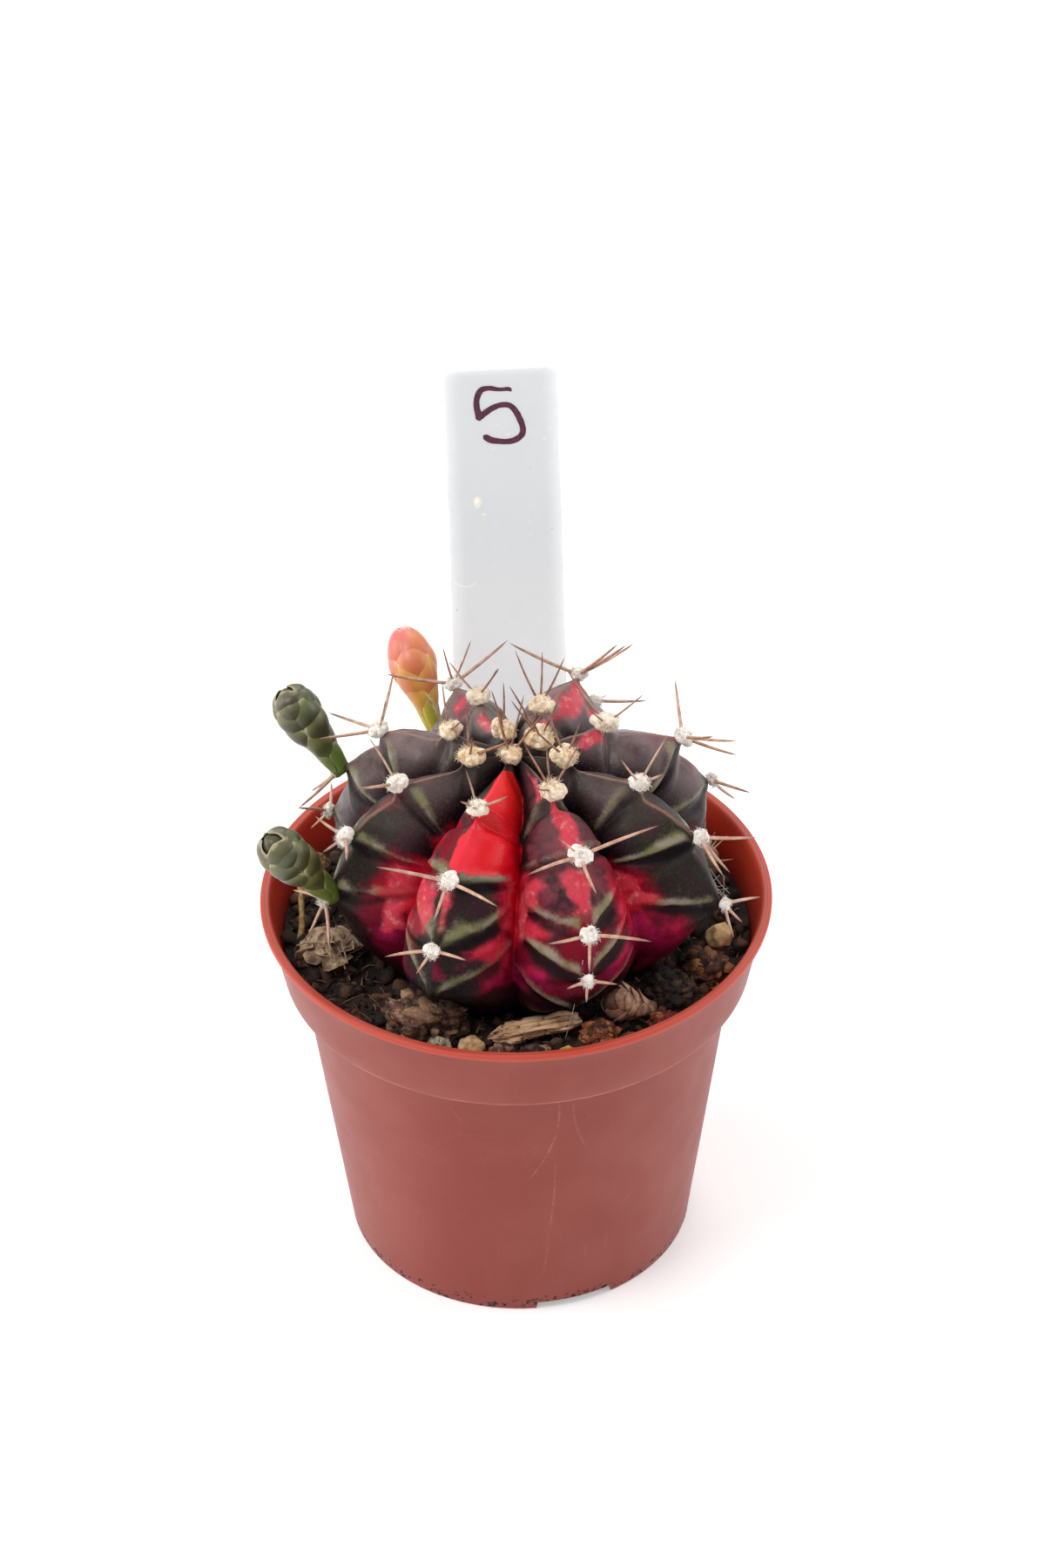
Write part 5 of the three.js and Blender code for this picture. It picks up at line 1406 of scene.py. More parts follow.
def on_label(x, up, out=0.0):
    """Places on the label's sheet: right of its middle, up from its pivot and out in front."""
    x, up, out = (np.asarray(v, float)[..., None] for v in (x, up, out))
    return LABEL_PIVOT + np.array([1.0, 0, 0]) * x + LABEL_UP * up + LABEL_FRONT * out


def strip_mesh(name, left, right):
    """The sheet between two edges, with slightly rounded cut sides."""
    w = np.linspace(0, 1, LABEL_COLUMNS)[None]
    flat = left[:, None] * (1 - w[..., None]) + right[:, None] * w[..., None]
    out = np.full(flat.shape[:2], LABEL_THICK / 2)
    out[:, (0, -1)] -= CUT_EDGE
    out[(0, -1), :] -= CUT_EDGE * 0.5
    front, back = (on_label(flat[..., 0], flat[..., 1], side * out) for side in (1, -1))
    points, faces = shell(front, back, LABEL_ROWS, LABEL_COLUMNS)
    return make_mesh(name, points, [tuple(reversed(f)) for f in faces])


def cut_edge(corners, seed):
    """Points along an edge through its corners, as the scissors wandered."""
    corners = np.array(corners, float)
    far = far_along(corners)
    at = np.linspace(0, far[-1], LABEL_ROWS)
    edge = np.stack([np.interp(at, far, corners[:, n]) for n in (0, 1)], -1)
    edge[:, 0] += 0.09 * noise(edge[:, 1] / 3, seed, 0) + 0.04 * noise(edge[:, 1] / 0.8, seed, 4)
    return edge


label_mesh = strip_mesh("label_sheet", cut_edge(LABEL_LEFT, 1.0), cut_edge(LABEL_RIGHT, 6.0))
shade_by_angle(label_mesh, 40)


def label_plastic():
    f = Finish("label_plastic")
    height = f.axis("Z")
    ragged = f.cloud(0.8, 4, 0.7, seed=2) * 0.7 - 0.35

    def oval(x, up, wide, high):
        """0 in the middle of an oval on the label, 1 at its edge and more outside it."""
        apart = f.vector("SUBTRACT", f.place, tuple(on_label(x, up)))
        return f.vector("LENGTH", f.vector("DIVIDE", apart, (wide, 40, high)), out="Value")

    # Painted light: the white is lighter towards the bottom, where the plant shades the label, and darker
    # at the top.
    white_with_painted_light = f.mix(height.rise(120, 68), srgb(146, 149, 152), srgb(200, 198, 200))
    arc = oval(-7.7, 47.0, 2.7, 3.4) + ragged * 0.1
    ring = arc.rise(0.93, 0.98) * arc.rise(1.06, 1.0) * height.rise(104.6, 104.0)
    dots = ((-9.2, 39.1, 0.22), (6.9, 54.5, 0.16), (-0.3, 50.6, 0.1), (3.4, 66.0, 0.12))
    colour = f.paint(
        white_with_painted_light,
        (f.cloud(22, 2).rise(0.3, 0.7) * 0.5, f.mix(0.4, white_with_painted_light, srgb(150, 150, 154))),
        (f.cloud(1.6, 4, 0.65, seed=4).rise(0.62, 0.74) * 0.25, srgb(196, 188, 178)),
        ((oval(-5.4, 59.8, 0.75, 1.15) + ragged).rise(1.05, 0.75) * 0.75, srgb(193, 174, 150)),
        ((oval(-5.5, 60.0, 0.5, 0.7) + ragged).rise(1.0, 0.5) * 0.45, srgb(226, 214, 196)),
        ((oval(-4.4, 57.4, 0.5, 0.35) + ragged).rise(1.05, 0.7) * 0.4, srgb(200, 184, 164)),
        (ring * 0.5, srgb(196, 186, 176)),
        *(((oval(x, up, size, size) + ragged * 0.4).rise(1.1, 0.8) * 0.8, srgb(136, 118, 104))
          for x, up, size in dots),
        ((height.rise(64, 58) + f.cloud(1.2, 3) - 0.5).rise(0.2, 0.8), SOIL_DARK))
    bumps = f.cloud(5, 2, seed=7) * 1.5 + f.cloud(0.4, 3, seed=3) * 0.25
    return f.surface(
        Base_Color=colour, Roughness=0.42 + f.cloud(3, 3) * 0.12, Normal=f.bump(bumps, 0.04),
        Subsurface_Weight=1.0, Subsurface_Scale=0.006, Subsurface_Radius=(1.0, 1.0, 1.0))


finish_piece("label_sheet", label_mesh, label_plastic(), "plant_label")

PEN_STROKES = [  # right, up and half the width of the ink
    [(0.42, 80.35, .2), (0.3, 80.62, .36), (-0.1, 80.85, .38), (-1.0, 80.78, .36),
     (-1.9, 80.82, .4), (-3.07, 81.02, .45), (-4.2, 80.85, .5), (-4.75, 80.3, .52),
     (-5.08, 79.5, .52), (-5.27, 78.5, .5), (-5.22, 77.4, .5), (-5.02, 76.4, .55),
     (-4.86, 75.4, .62), (-4.82, 75.0, .5)],
    [(-4.8, 75.3, .5), (-4.45, 75.95, .55), (-3.9, 76.45, .55), (-2.9, 77.2, .52),
     (-1.8, 77.75, .5), (-0.8, 77.95, .5), (0.1, 77.8, .5), (0.8, 77.2, .5), (1.35, 76.3, .52),
     (1.85, 75.1, .52), (2.2, 74.0, .5), (2.28, 73.0, .5), (2.0, 72.2, .52), (1.2, 71.5, .55),
     (0.3, 71.15, .52), (-0.8, 71.08, .52), (-2.0, 71.2, .55), (-3.1, 71.45, .58),
     (-4.0, 72.1, .55), (-4.25, 72.3, .3)],
]
PEN_STEP, PEN_COLUMNS, INK_TOP, INK_FOOT = 0.12, 7, LABEL_THICK / 2 + 0.022, LABEL_THICK / 2 - 0.015


def add_stroke(heap, number, stroke):
    """One stroke of the pen, as a ribbon with thin sides."""
    stroke = np.array(stroke)
    place_at, length = smooth_line(stroke[:, :2], 60)
    count = int(length / PEN_STEP)
    at = np.linspace(0, 1, count)
    centre, way = place_at(at)
    knots = far_along(stroke[:, :2])
    half = np.interp(at, knots / knots[-1], stroke[:, 2]) + 0.03 * noise(at * length / 0.5, number, 0)
    half = half * np.sqrt(np.clip(np.minimum(at, 1 - at) * length / 0.4, 0.05, 1))
    side = np.stack([-way[:, 1], way[:, 0]], -1)
    w = np.linspace(-1, 1, PEN_COLUMNS)
    flat = centre[:, None] + side[:, None] * (half[:, None] * w)[..., None]
    top = INK_TOP + 0.006 * number - 0.012 * w**4
    x, up = flat[..., 0], flat[..., 1]
    front, back = (on_label(x, up, out + 0 * x) for out in (top, INK_FOOT))
    points, faces = shell(front, back, count, PEN_COLUMNS)
    heap.add(points, faces, rim=np.tile(np.broadcast_to(np.abs(w), (count, PEN_COLUMNS)).ravel(), 2))


ink = Heap()
for number, stroke in enumerate(PEN_STROKES):
    add_stroke(ink, number, stroke)
ink_mesh = ink.mesh("label_number")


def pen_ink():
    f = Finish("pen_ink")
    fine = f.cloud(0.7, 3, 0.6)
    edge = (f.stored("rim") + (fine - 0.5) * 0.4).rise(0.7, 1.0)
    colour = f.paint(
        srgb(66, 22, 42), (fine.rise(0.35, 0.7), srgb(104, 34, 62)), (edge * 0.45, srgb(48, 18, 44)))
    return f.surface(Base_Color=colour, Roughness=0.5 + fine * 0.2, Normal=f.bump(fine, 0.01))


finish_piece("label_number", ink_mesh, pen_ink(), "plant_label")
print("label:", len(label_mesh.polygons), "faces, number:", len(ink_mesh.polygons))

# %% [markdown]
# ## Soil
# Peat is a dark crumb with fibres in it. The surface has the hills of the CAD soil with smaller
# noise on top, and many crumbs and fibres are strewn over it as meshes, because crumbs that stand
# clear of the surface make the shadows that bump alone can't. Two crumbs in three are shards with
# flat faces, and the third is round. Dark crumbs are peat, pale ones are bark.

# %% Soil body
SOIL_Z, SOIL_RELIEF, GAP, LEDGE, SOIL_FOOT_Z = 59.0, 0.9, 0.3, 55.05, 3.5
SOIL_RINGS, SOIL_SIDES = 96, 300
CRUMBS, FIBRES, FIBRE_STEPS, SOIL_EDGE = 1500, 340, 8, 37.4
small_points, small_faces = ball(2)


def soil_height(x, y):
    coarse = noise(x / 8, y / 8, 3.3)
    fine = noise(x / 3.4, y / 3.4, 9.1)
    return SOIL_Z + SOIL_RELIEF * (0.7 * coarse + 0.4 * fine)


def pot_inside(z):
    """The inside radius of the pot's wall and band at a height, as in its profile."""
    if z >= LEDGE:
        return 38.15 + (z - 54.1) / 11.9 * 2.4
    return 28.15 + z / 54.1 * 7.15


def peat_bed():
    """The filling of the pot, with a rough top."""
    reach = pot_inside(SOIL_Z) - GAP
    turn = np.arange(SOIL_SIDES) * 360 / SOIL_SIDES
    radii = reach * (np.arange(1, SOIL_RINGS + 1) / SOIL_RINGS) ** 0.75
    top = np.stack([polar(turn, r, 0.0) for r in radii])
    x, y = top[..., 0], top[..., 1]
    rough = layered(top.reshape(-1, 3) + (0, 0, 5), 2.2, 3.0, 4).reshape(x.shape)
    top[..., 2] = soil_height(x, y) + 0.45 * rough * smoothstep(reach - np.hypot(x, y), 0.0, 0.8)
    above = LEDGE + 0.3
    wall = [(pot_inside(above) - GAP, above), (pot_inside(LEDGE - 1) - GAP - 0.1, above),
            (pot_inside(SOIL_FOOT_Z) - GAP, SOIL_FOOT_Z)]
    rings = [*top, *(polar(turn, r, z) for r, z in wall)]
    points = np.concatenate([[[0, 0, SOIL_Z]], *rings, [[0, 0, SOIL_FOOT_Z]]])
    return make_mesh("peat_bed", points, ring_faces(len(rings), SOIL_SIDES))


def shard(seed, planes=9):
    """A broken crumb: a small ball cut flat by planes at random."""
    ways = unit(np.stack([draw(seed, np.arange(planes), 61 + n) - 0.5 for n in range(3)], -1))
    return small_points * (0.75 / np.maximum((small_points @ ways.T).max(1), 0.4))[:, None]


def strew_crumb(heap, n):
    spot = polar(360 * draw(n, 1, 41), 21 + 16.6 * math.sqrt(draw(n, 2, 41)), 0.0)
    size = 0.28 + 1.25 * draw(n, 3, 41) ** 3
    lumpy = lambda: small_points * (1 + 0.6 * layered(small_points, 0.9, n * 1.7, 2))[:, None]
    wide, deep = 0.8 + 0.5 * draw(n, 4, 41), 0.7 + 0.5 * draw(n, 5, 41)
    shape = (shard(n) if n % 3 else lumpy()) * (size * wide, size * deep, size * 0.75)
    spot[2] = soil_height(spot[0], spot[1]) + 0.3 * size
    heap.add(shape + spot, small_faces, tone=draw(n, 6, 41))


def strew_fibre(heap, n):
    t = np.linspace(0, 1, FIBRE_STEPS)
    spot = polar(360 * draw(n, 1, 77), 22 + 15.3 * math.sqrt(draw(n, 2, 77)), 0.0)
    length = 1.5 + 6 * draw(n, 4, 77) ** 2
    angle = 2 * math.pi * draw(n, 3, 77) + (draw(n, 5, 77) - 0.5) * 2.2 * t
    steps = np.stack([np.cos(angle), np.sin(angle), 0.25 * np.sin(t * 5 + n)], -1)
    steps = steps * length / FIBRE_STEPS
    path = spot + np.cumsum(steps, axis=0)
    path[:, :2] *= np.minimum(1, SOIL_EDGE / np.hypot(path[:, 0], path[:, 1]))[:, None]
    path[:, 2] = soil_height(path[:, 0], path[:, 1]) + 0.45 + 0.9 * draw(n, 6, 77) * np.sin(np.pi * t)
    thick = 0.07 + 0.16 * draw(n, 7, 77) ** 2
    heap.add_tube(path, thick * (1 - 0.5 * t), 5, tone=1.0 + draw(n, 8, 77))


soil_mesh = peat_bed()
peat_heap = Heap()
for n in range(CRUMBS):
    strew_crumb(peat_heap, n)
for n in range(FIBRES):
    strew_fibre(peat_heap, n)
crumb_mesh = peat_heap.mesh("peat_crumbs")
print("soil:", len(soil_mesh.polygons), "faces, crumbs and fibres:", len(crumb_mesh.polygons))


def peat(name, strewn):
    f = Finish(name)
    fine = f.cloud(0.7, 5, 0.7)
    layers = [(f.cloud(2.4, 4, 0.6, seed=5).rise(0.35, 0.7), srgb(60, 37, 27)),
              (fine.rise(0.58, 0.78) * 0.5, srgb(92, 62, 44))]
    if strewn:
        tone = f.stored("tone")
        layers += [(tone.rise(0.55, 0.95) * 0.75, srgb(112, 78, 54)),
                   (tone.rise(1.2, 1.9) * 0.8, srgb(158, 122, 86))]
    height = fine * 1.0 + f.cloud(0.25, 3, seed=3) * 0.4
    return f.surface(
        Base_Color=f.paint(srgb(12, 7, 6), *layers), Roughness=0.86, Normal=f.bump(height, 0.25))


finish_piece("peat_bed", soil_mesh, peat("peat_bed", False), "soil")
finish_piece("peat_crumbs", crumb_mesh, peat("peat_crumbs", True), "soil")

# %% [markdown]
# ## Lumps on the soil
# Bark, stones and peat lie half sunk in the soil. Each is a ball of points pushed in and out by
# noise, like its CAD solid, with finer noise on top. Planes at random give the flat faces and edges
# of broken stone, and bark and peat get many small shards all over, so that they look torn.

# %% Lumps
LUMPS = {  # centre, half sizes, turn, roughness, number of the draw, torn, flat faces, shards, their size
    "bark_lump": ((-14.8, -26.2, 61.6), (6, 4.2, 4), 12, 0.22, 0, 1.0, False, 110, 1.6),
    "speckled_stone": ((-13, -32.2, 60.4), (2.4, 2, 2.4), 30, 0.12, 1, 0.25, True, 0, 0),
    "tan_stone_front": ((-7.6, -31.4, 60.2), (2.3, 1.9, 2.1), -20, 0.12, 2, 0.15, True, 0, 0),
    "peat_chip_left": ((-2.6, -33.2, 59.9), (2.3, 1.6, 1.5), 15, 0.25, 3, 1.2, False, 40, 0.7),
    "peat_chip_right": ((3, -33.4, 59.9), (2.5, 1.5, 1.5), -10, 0.25, 4, 1.2, False, 40, 0.7),
    "yellow_stone": ((7.9, -33.6, 60), (1.9, 1.5, 1.6), 0, 0.12, 5, 0.25, True, 0, 0),
    "crumbly_bark": ((12.9, -30.6, 60.8), (2.6, 3.1, 2.8), -28, 0.28, 6, 1.8, False, 150, 0.75),
    "dry_petal": ((23.6, -26.2, 60.4), (2.9, 1.8, 1.8), 35, 0.25, 7, 1.3, False, 30, 0.7),
    "peat_lump": ((25.4, -18.8, 60.4), (3.6, 3.2, 3), 20, 0.3, 8, 1.7, False, 140, 0.95),
    "red_chunk": ((31.2, -13, 60.6), (3.1, 3, 2.9), 60, 0.26, 9, 1.6, False, 110, 0.95),
    "tan_stone_right": ((33.6, -4.6, 60.6), (2.7, 2.3, 2.4), 70, 0.12, 10, 0.2, True, 0, 0),
    "tan_chip_left": ((-33.6, 14.8, 61), (2.3, 1.7, 3.2), 25, 0.2, 11, 0.9, True, 0, 0),
}
LUMP_LOOKS = {  # slot, kind of finish, colours: light and dark of a stone; light, middle, dark of bark
    "bark_lump": ("bark", "bark", (186, 144, 110), (108, 74, 56), (38, 23, 18)),
    "speckled_stone": ("speckled_stone", "stone", (190, 180, 150), (112, 102, 78), (236, 230, 208)),
    "tan_stone_front": ("tan_stone", "stone", (226, 190, 142), (168, 126, 84)),
    "peat_chip_left": ("peat", "bark", (168, 120, 92), (108, 70, 54), (34, 20, 16)),
    "peat_chip_right": ("peat", "bark", (186, 146, 102), (94, 64, 48), (26, 16, 12)),
    "yellow_stone": ("yellow_stone", "stone", (206, 172, 92), (160, 118, 54)),
    "crumbly_bark": ("bark", "bark", (206, 126, 74), (146, 76, 42), (58, 30, 18)),
    "dry_petal": ("red_bark", "bark", (206, 148, 70), (148, 54, 46), (74, 26, 24)),
    "peat_lump": ("peat", "bark", (104, 80, 58), (52, 36, 27), (22, 14, 11)),
    "red_chunk": ("red_bark", "bark", (190, 126, 70), (96, 58, 50), (44, 24, 22)),
    "tan_stone_right": ("tan_stone", "stone", (252, 216, 160), (216, 170, 114)),
    "tan_chip_left": ("tan_stone", "bark", (206, 170, 124), (168, 130, 88), (110, 80, 52)),
}
lump_points, lump_faces = ball(5)


def lump_shape(half, rough, seed, torn, faceted):
    """A ball pushed about by noise: torn like bark, or cut flat by planes like a broken stone."""
    p = lump_points
    shape = 1 + rough * noise(1.7 * p[:, 0] + 3 * seed, 1.7 * p[:, 1], 1.7 * p[:, 2])
    if faceted:
        planes = unit(np.array([[draw(seed, n, k) - 0.5 for k in (1, 2, 3)] for n in range(14)]))
        flat = 0.84 / np.maximum((p @ planes.T), 0.05).max(1)
        shape = shape * np.minimum(1.0, flat + 0.02)
    soft = layered(p, 0.9, seed * 1.3, 4)
    sharp = np.abs(layered(p, 0.55, seed * 2.1 + 5, 3))
    shape = shape + torn * (0.10 * soft - 0.16 * sharp + 0.08)
    if faceted:
        shape = shape + 0.02 * layered(p, 0.3, seed, 3)
    return p * shape[:, None] * half * (1.0 if faceted else 0.9)


def add_shards(heap, half, seed, count, size):
    """Torn shards and flakes all over the upper part of a lump."""
    for n in range(count):
        chance = lambda k: draw(n, seed, k)
        way = unit(np.array([chance(51) - 0.5, chance(52) - 0.5, 1.1 * chance(53) - 0.35]))
        shape = shard(n + 500 * seed, 8)
        shape = shape * (1 + 0.3 * layered(small_points, 0.8, n * 2.3 + seed, 2))[:, None]
        flat = np.array([0.7 + chance(54), 0.5 + 0.9 * chance(55), 0.35 + 0.5 * chance(56)])
        shape = turned(shape * flat * size * (0.4 + 0.8 * chance(57)), 360 * chance(58))
        heap.add(shape + way * half * 0.9, small_faces, tone=chance(59))


def stone(name, light, dark, speck=None):
    f = Finish(name)
    fine = f.cloud(0.35, 3, 0.7)
    layers = [(f.cloud(0.9 if speck else 1.3, 4, 0.6).rise(0.35, 0.68), dark),
              (fine.rise(0.5, 0.8) * 0.4, tuple(0.45 * v for v in dark[:3]) + (1,))]
    if speck:
        specks = f.cells(0.75).rise(0.34, 0.26) * f.cloud(1.0, 2, seed=7).rise(0.4, 0.6)
        layers += [(specks, speck), (f.cloud(0.6, 3, 0.6, seed=15).rise(0.53, 0.6), srgb(26, 22, 18))]
    return f.surface(
        Base_Color=f.paint(light, *layers), Roughness=0.62 + fine * 0.25, Normal=f.bump(fine, 0.08))


def bark(name, light, middle, dark):
    f = Finish(name)
    tone = f.stored("tone")
    layer = f.cloud(1.6, 4, 0.6, stretch=(1.6, 1.0, 0.5))
    torn = f.cloud(0.8, 5, 0.7, seed=4)
    colour = f.paint(
        dark,
        (layer.rise(0.35, 0.62), middle),
        (torn.rise(0.5, 0.72) * 0.8, light),
        (f.cloud(2.0, 2, seed=12).rise(0.54, 0.64) * 0.55, light),
        (f.cloud(1.3, 3, 0.6, seed=8).rise(0.58, 0.66) * 0.85, srgb(12, 8, 7)),
        (tone.rise(0.5, 0.2) * 0.7, dark),
        (tone.rise(0.68, 1.0) * 0.75, light))
    return f.surface(Base_Color=colour, Roughness=0.85, Normal=f.bump(torn * 1.0 + layer * 0.8, 0.3))


for name, (centre, half, turn, rough, seed, torn, faceted, count, size) in LUMPS.items():
    slot, kind, *colours = LUMP_LOOKS[name]
    heap = Heap()
    heap.add(lump_shape(half, rough, seed, torn, faceted), lump_faces, tone=0.3)
    add_shards(heap, half, seed, count, size)
    heap.points = [turned(points, turn) + centre for points in heap.points]
    look = (stone if kind == "stone" else bark)(name, *(srgb(*colour) for colour in colours))
    finish_piece(name + "_fine", heap.mesh(name + "_fine"), look, name)
print("lumps:", len(LUMPS), "of", len(lump_faces), "faces each")

# %% [markdown]
# ## A splinter of wood
# The long chip was torn off along its grain, so its faces are ridged and split lengthwise and its
# ends are ragged. Its section is a rounded bar that narrows to one end, and noise that is
# stretched along the chip makes the ridges. The grain in the finish runs the same way.

# %% Wood splinter
CHIP = {"at": (2.6, -28.6, 61.6), "length": 15, "width": 3.6, "thick": 2.2, "turn": 10, "tilt": 6}
CHIP_STEPS, CHIP_SIDES = 90, 56


def wood_chip():
    x = np.linspace(-1, 1, CHIP_STEPS)[:, None]
    turn = np.arange(CHIP_SIDES)[None] * 2 * np.pi / CHIP_SIDES
    c, s = np.cos(turn), np.sin(turn)
    bar = lambda v: np.sign(v) * np.abs(v) ** 0.55
    narrow = np.where(x < 0, 1 - 0.78 * np.abs(x) ** 2, 1 - 0.35 * np.abs(x) ** 4)
    narrow = narrow * (1 + 0.2 * noise(x * 3, 4.2, 1.1))
    grain = noise(x * 1.6, 3.2 * c + 5, 3.2 * s) * 0.5 + noise(x * 2, 9 * c, 9 * s + 3) * 0.3
    split = np.abs(noise(x * 2.2 + 4, 5 * c + 2, 5 * s))
    grain = grain - 0.7 * smoothstep(split, 0.14, 0.0)
    y = bar(c) * CHIP["width"] / 2 * narrow + grain * c
    z = bar(s) * CHIP["thick"] / 2 * narrow + grain * s * 1.3
    ragged = 1 + 0.12 * noise(2.4 * c + 9, 2.4 * s, 0.5)
    torn = np.where(np.abs(x) > 0.8, ragged, 1 + (ragged - 1) * np.abs(x) / 0.8)
    half = CHIP["length"] / 2
    body = np.stack(np.broadcast_arrays(x * half * torn, y, z), -1).reshape(-1, 3)
    body = np.concatenate([[[-half * 0.93, 0, 0]], body, [[half * 0.93, 0, 0]]])
    tilt = math.radians(-CHIP["tilt"])
    c, s = math.cos(tilt), math.sin(tilt)
    lean = np.array([[c, 0, -s], [0, 1, 0], [s, 0, c]])
    points = turned(body @ lean, CHIP["turn"]) + CHIP["at"]
    return make_mesh("wood_splinter", points, turned_faces(CHIP_STEPS, CHIP_SIDES))


def wood_finish():
    f = Finish("wood_splinter")
    turn = math.radians(CHIP["turn"])
    along = f.vector("DOT_PRODUCT", f.place, (math.cos(turn), math.sin(turn), 0), out="Value")
    over = f.vector("DOT_PRODUCT", f.place, (-math.sin(turn), math.cos(turn), 0), out="Value")
    place = f.node("ShaderNodeCombineXYZ", {}, [along * 0.12, over * 1.6, f.axis("Z") * 1.6])
    grain = f.node("ShaderNodeTexNoise", {}, {
        "Vector": place, "Scale": 1.0, "Detail": 5.0, "Roughness": 0.65})
    colour = f.paint(
        srgb(148, 96, 66),
        (grain.rise(0.3, 0.62), srgb(246, 204, 160)),
        (f.cloud(2.5, 3).rise(0.5, 0.7) * 0.5, srgb(150, 98, 66)),
        (grain.rise(0.43, 0.36) * 0.85, srgb(26, 15, 11)))
    return f.surface(Base_Color=colour, Roughness=0.75, Normal=f.bump(grain, 0.45))


chip_mesh = wood_chip()
finish_piece("wood_splinter", chip_mesh, wood_finish(), "wood_chip")
print("wood splinter:", len(chip_mesh.polygons), "faces")

# %% [markdown]
# ## Dried flowers
# Two spent flowers lie on the soil: one still looks like a bud with papery brown scales, the other
# has fallen open into a low heap of scales. Both use the same thin shells as the living buds, with
# torn, curling edges. A yellow straw stands beside the heap and a few twigs lie in it.

# %% Dried flowers
DRY_ROWS = [(0.02, 4, 0.75, 0.4), (0.22, 5, 0.6, 0.42), (0.4, 5, 0.62, 0.42), (0.56, 4, 0.75, 0.42)]
DRY_BASE, DRY_TIP = np.array([21.4, -22.6, 60.4]), np.array([14.4, -24.4, 64.1])
LEAF_ROWS, LEAF_COLUMNS, FLOWER_LEAVES, TWIGS = 11, 9, 21, 9
FLOWER_AT, FLOWER_HALF = np.array([-31, -7.6, 60.4]), (5.4, 5, 2.6)
STRAW_FOOT, STRAW_TOP = np.array([-36.2, -4.4, 59.5]), np.array([-35.4, 3.2, 66.5])


def papery(name, light, middle, dark):
    f = Finish(name)
    veins = f.cloud(0.6, 4, 0.6, stretch=(1, 1, 2.5))
    colour = f.paint(
        middle,
        (f.cloud(1.8, 3).rise(0.35, 0.65), light),
        (veins.rise(0.5, 0.75) * 0.6, dark),
        # Painted shade: darker at the foot of each scale and leaf, and on the core beneath them.
        (f.stored("root").rise(0.5, 0.1) * 0.7, dark),
        ((f.stored("rim") + (veins - 0.5) * 0.3).rise(0.8, 1.0) * 0.6, light))
    return f.surface(Base_Color=colour, Roughness=0.8, Normal=f.bump(veins, 0.12))


dry_bud_mesh = make_bud(
    "dry_bud_scales", DRY_BASE, DRY_TIP, 1.9, 2.8, DRY_ROWS, 17, 0.5, 0.45, 0.7, 2.2, 0.9)
dry_bud_look = papery("dry_bud_scales", srgb(206, 166, 136), srgb(142, 100, 82), srgb(60, 36, 32))
finish_piece("dry_bud_scales", dry_bud_mesh, dry_bud_look, "dry_scaly_bud")


def add_leaf(heap, centre, along, out, length, width, curl, seed):
    """A loose papery scale: a pointed curved leaf with a wavy edge."""
    v = np.linspace(-1, 1, LEAF_ROWS)[:, None]
    w = np.linspace(-1, 1, LEAF_COLUMNS)[None]
    rim = np.maximum(np.abs(w), np.abs(v))
    outline = np.sqrt(np.clip(1 - np.abs(v) ** 2.2, 0, 1)) * (1 - 0.25 * v)
    ragged = 1 + 0.15 * noise(seed + v * 3, w * 2, 0.7)
    x = w * width / 2 * outline * ragged
    y = v * length / 2 * (1 + 0.06 * noise(w * 3 + seed, v, 3.3))
    z = curl * (w**2 * outline * 0.8 - 0.5 * v**2) + 0.18 * noise(seed + v * 2.4, w * 2.4, 8.8)
    side = unit(np.cross(along, out))
    sheet = lambda dz: centre + x[..., None] * side + y[..., None] * along + (z + dz)[..., None] * out
    thick = 0.16 * (1 - 0.7 * rim**4)
    points, faces = shell(sheet(thick), sheet(-thick), LEAF_ROWS, LEAF_COLUMNS)
    root = (v + 1) / 2 + 0 * w
    heap.add(points, faces, rim=np.tile(rim.ravel(), 2), root=np.tile(root.ravel(), 2))


def add_heap_leaf(heap, n):
    """The nth scale of the fallen flower, on a spiral from its middle."""
    chance = lambda k: draw(n, k, 5)
    angle, away = n * 2.4 + chance(6), math.sqrt((n + 0.5) / FLOWER_LEAVES)
    level = np.array([math.cos(angle), math.sin(angle), 0])
    place = level * (4.1 * away, 3.9 * away, 0) + (0, 0, 1.9 - 1.2 * away + chance(7))
    drift = np.array([chance(1) - 0.5, chance(2) - 0.6, 0.6 * chance(8) - 0.1])
    heading = unit(drift + 0.3 * level)
    face = unit(np.array([0.5 * (chance(9) - 0.5), -0.6 * chance(10), 1.0]))
    face = unit(face - heading * (face @ heading))
    length, width, curl = 3.0 + 2.2 * chance(3), 2.6 + 1.8 * chance(4), 1.5 * (chance(5) + 0.1)
    add_leaf(heap, FLOWER_AT + place, heading, face, length, width, curl, n * 1.9)


def add_twig(heap, n):
    t = np.linspace(0, 1, 9)
    angle = 2 * math.pi * draw(n, 1, 31)
    start = (3.4 * math.cos(angle * 3 + n), 3.2 * math.sin(angle * 2), 1.6 + draw(n, 2, 31))
    way = np.array([math.cos(angle), math.sin(angle), 0.3 * (draw(n, 3, 31) - 0.3)])
    path = FLOWER_AT + start + way * ((t - 0.5) * (4 + 3 * draw(n, 4, 31)))[:, None]
    path[:, 2] += 0.5 * np.sin(t * 3)
    heap.add_tube(path, 0.17 * (1 - 0.6 * t), 6, rim=0.9, root=0.8)


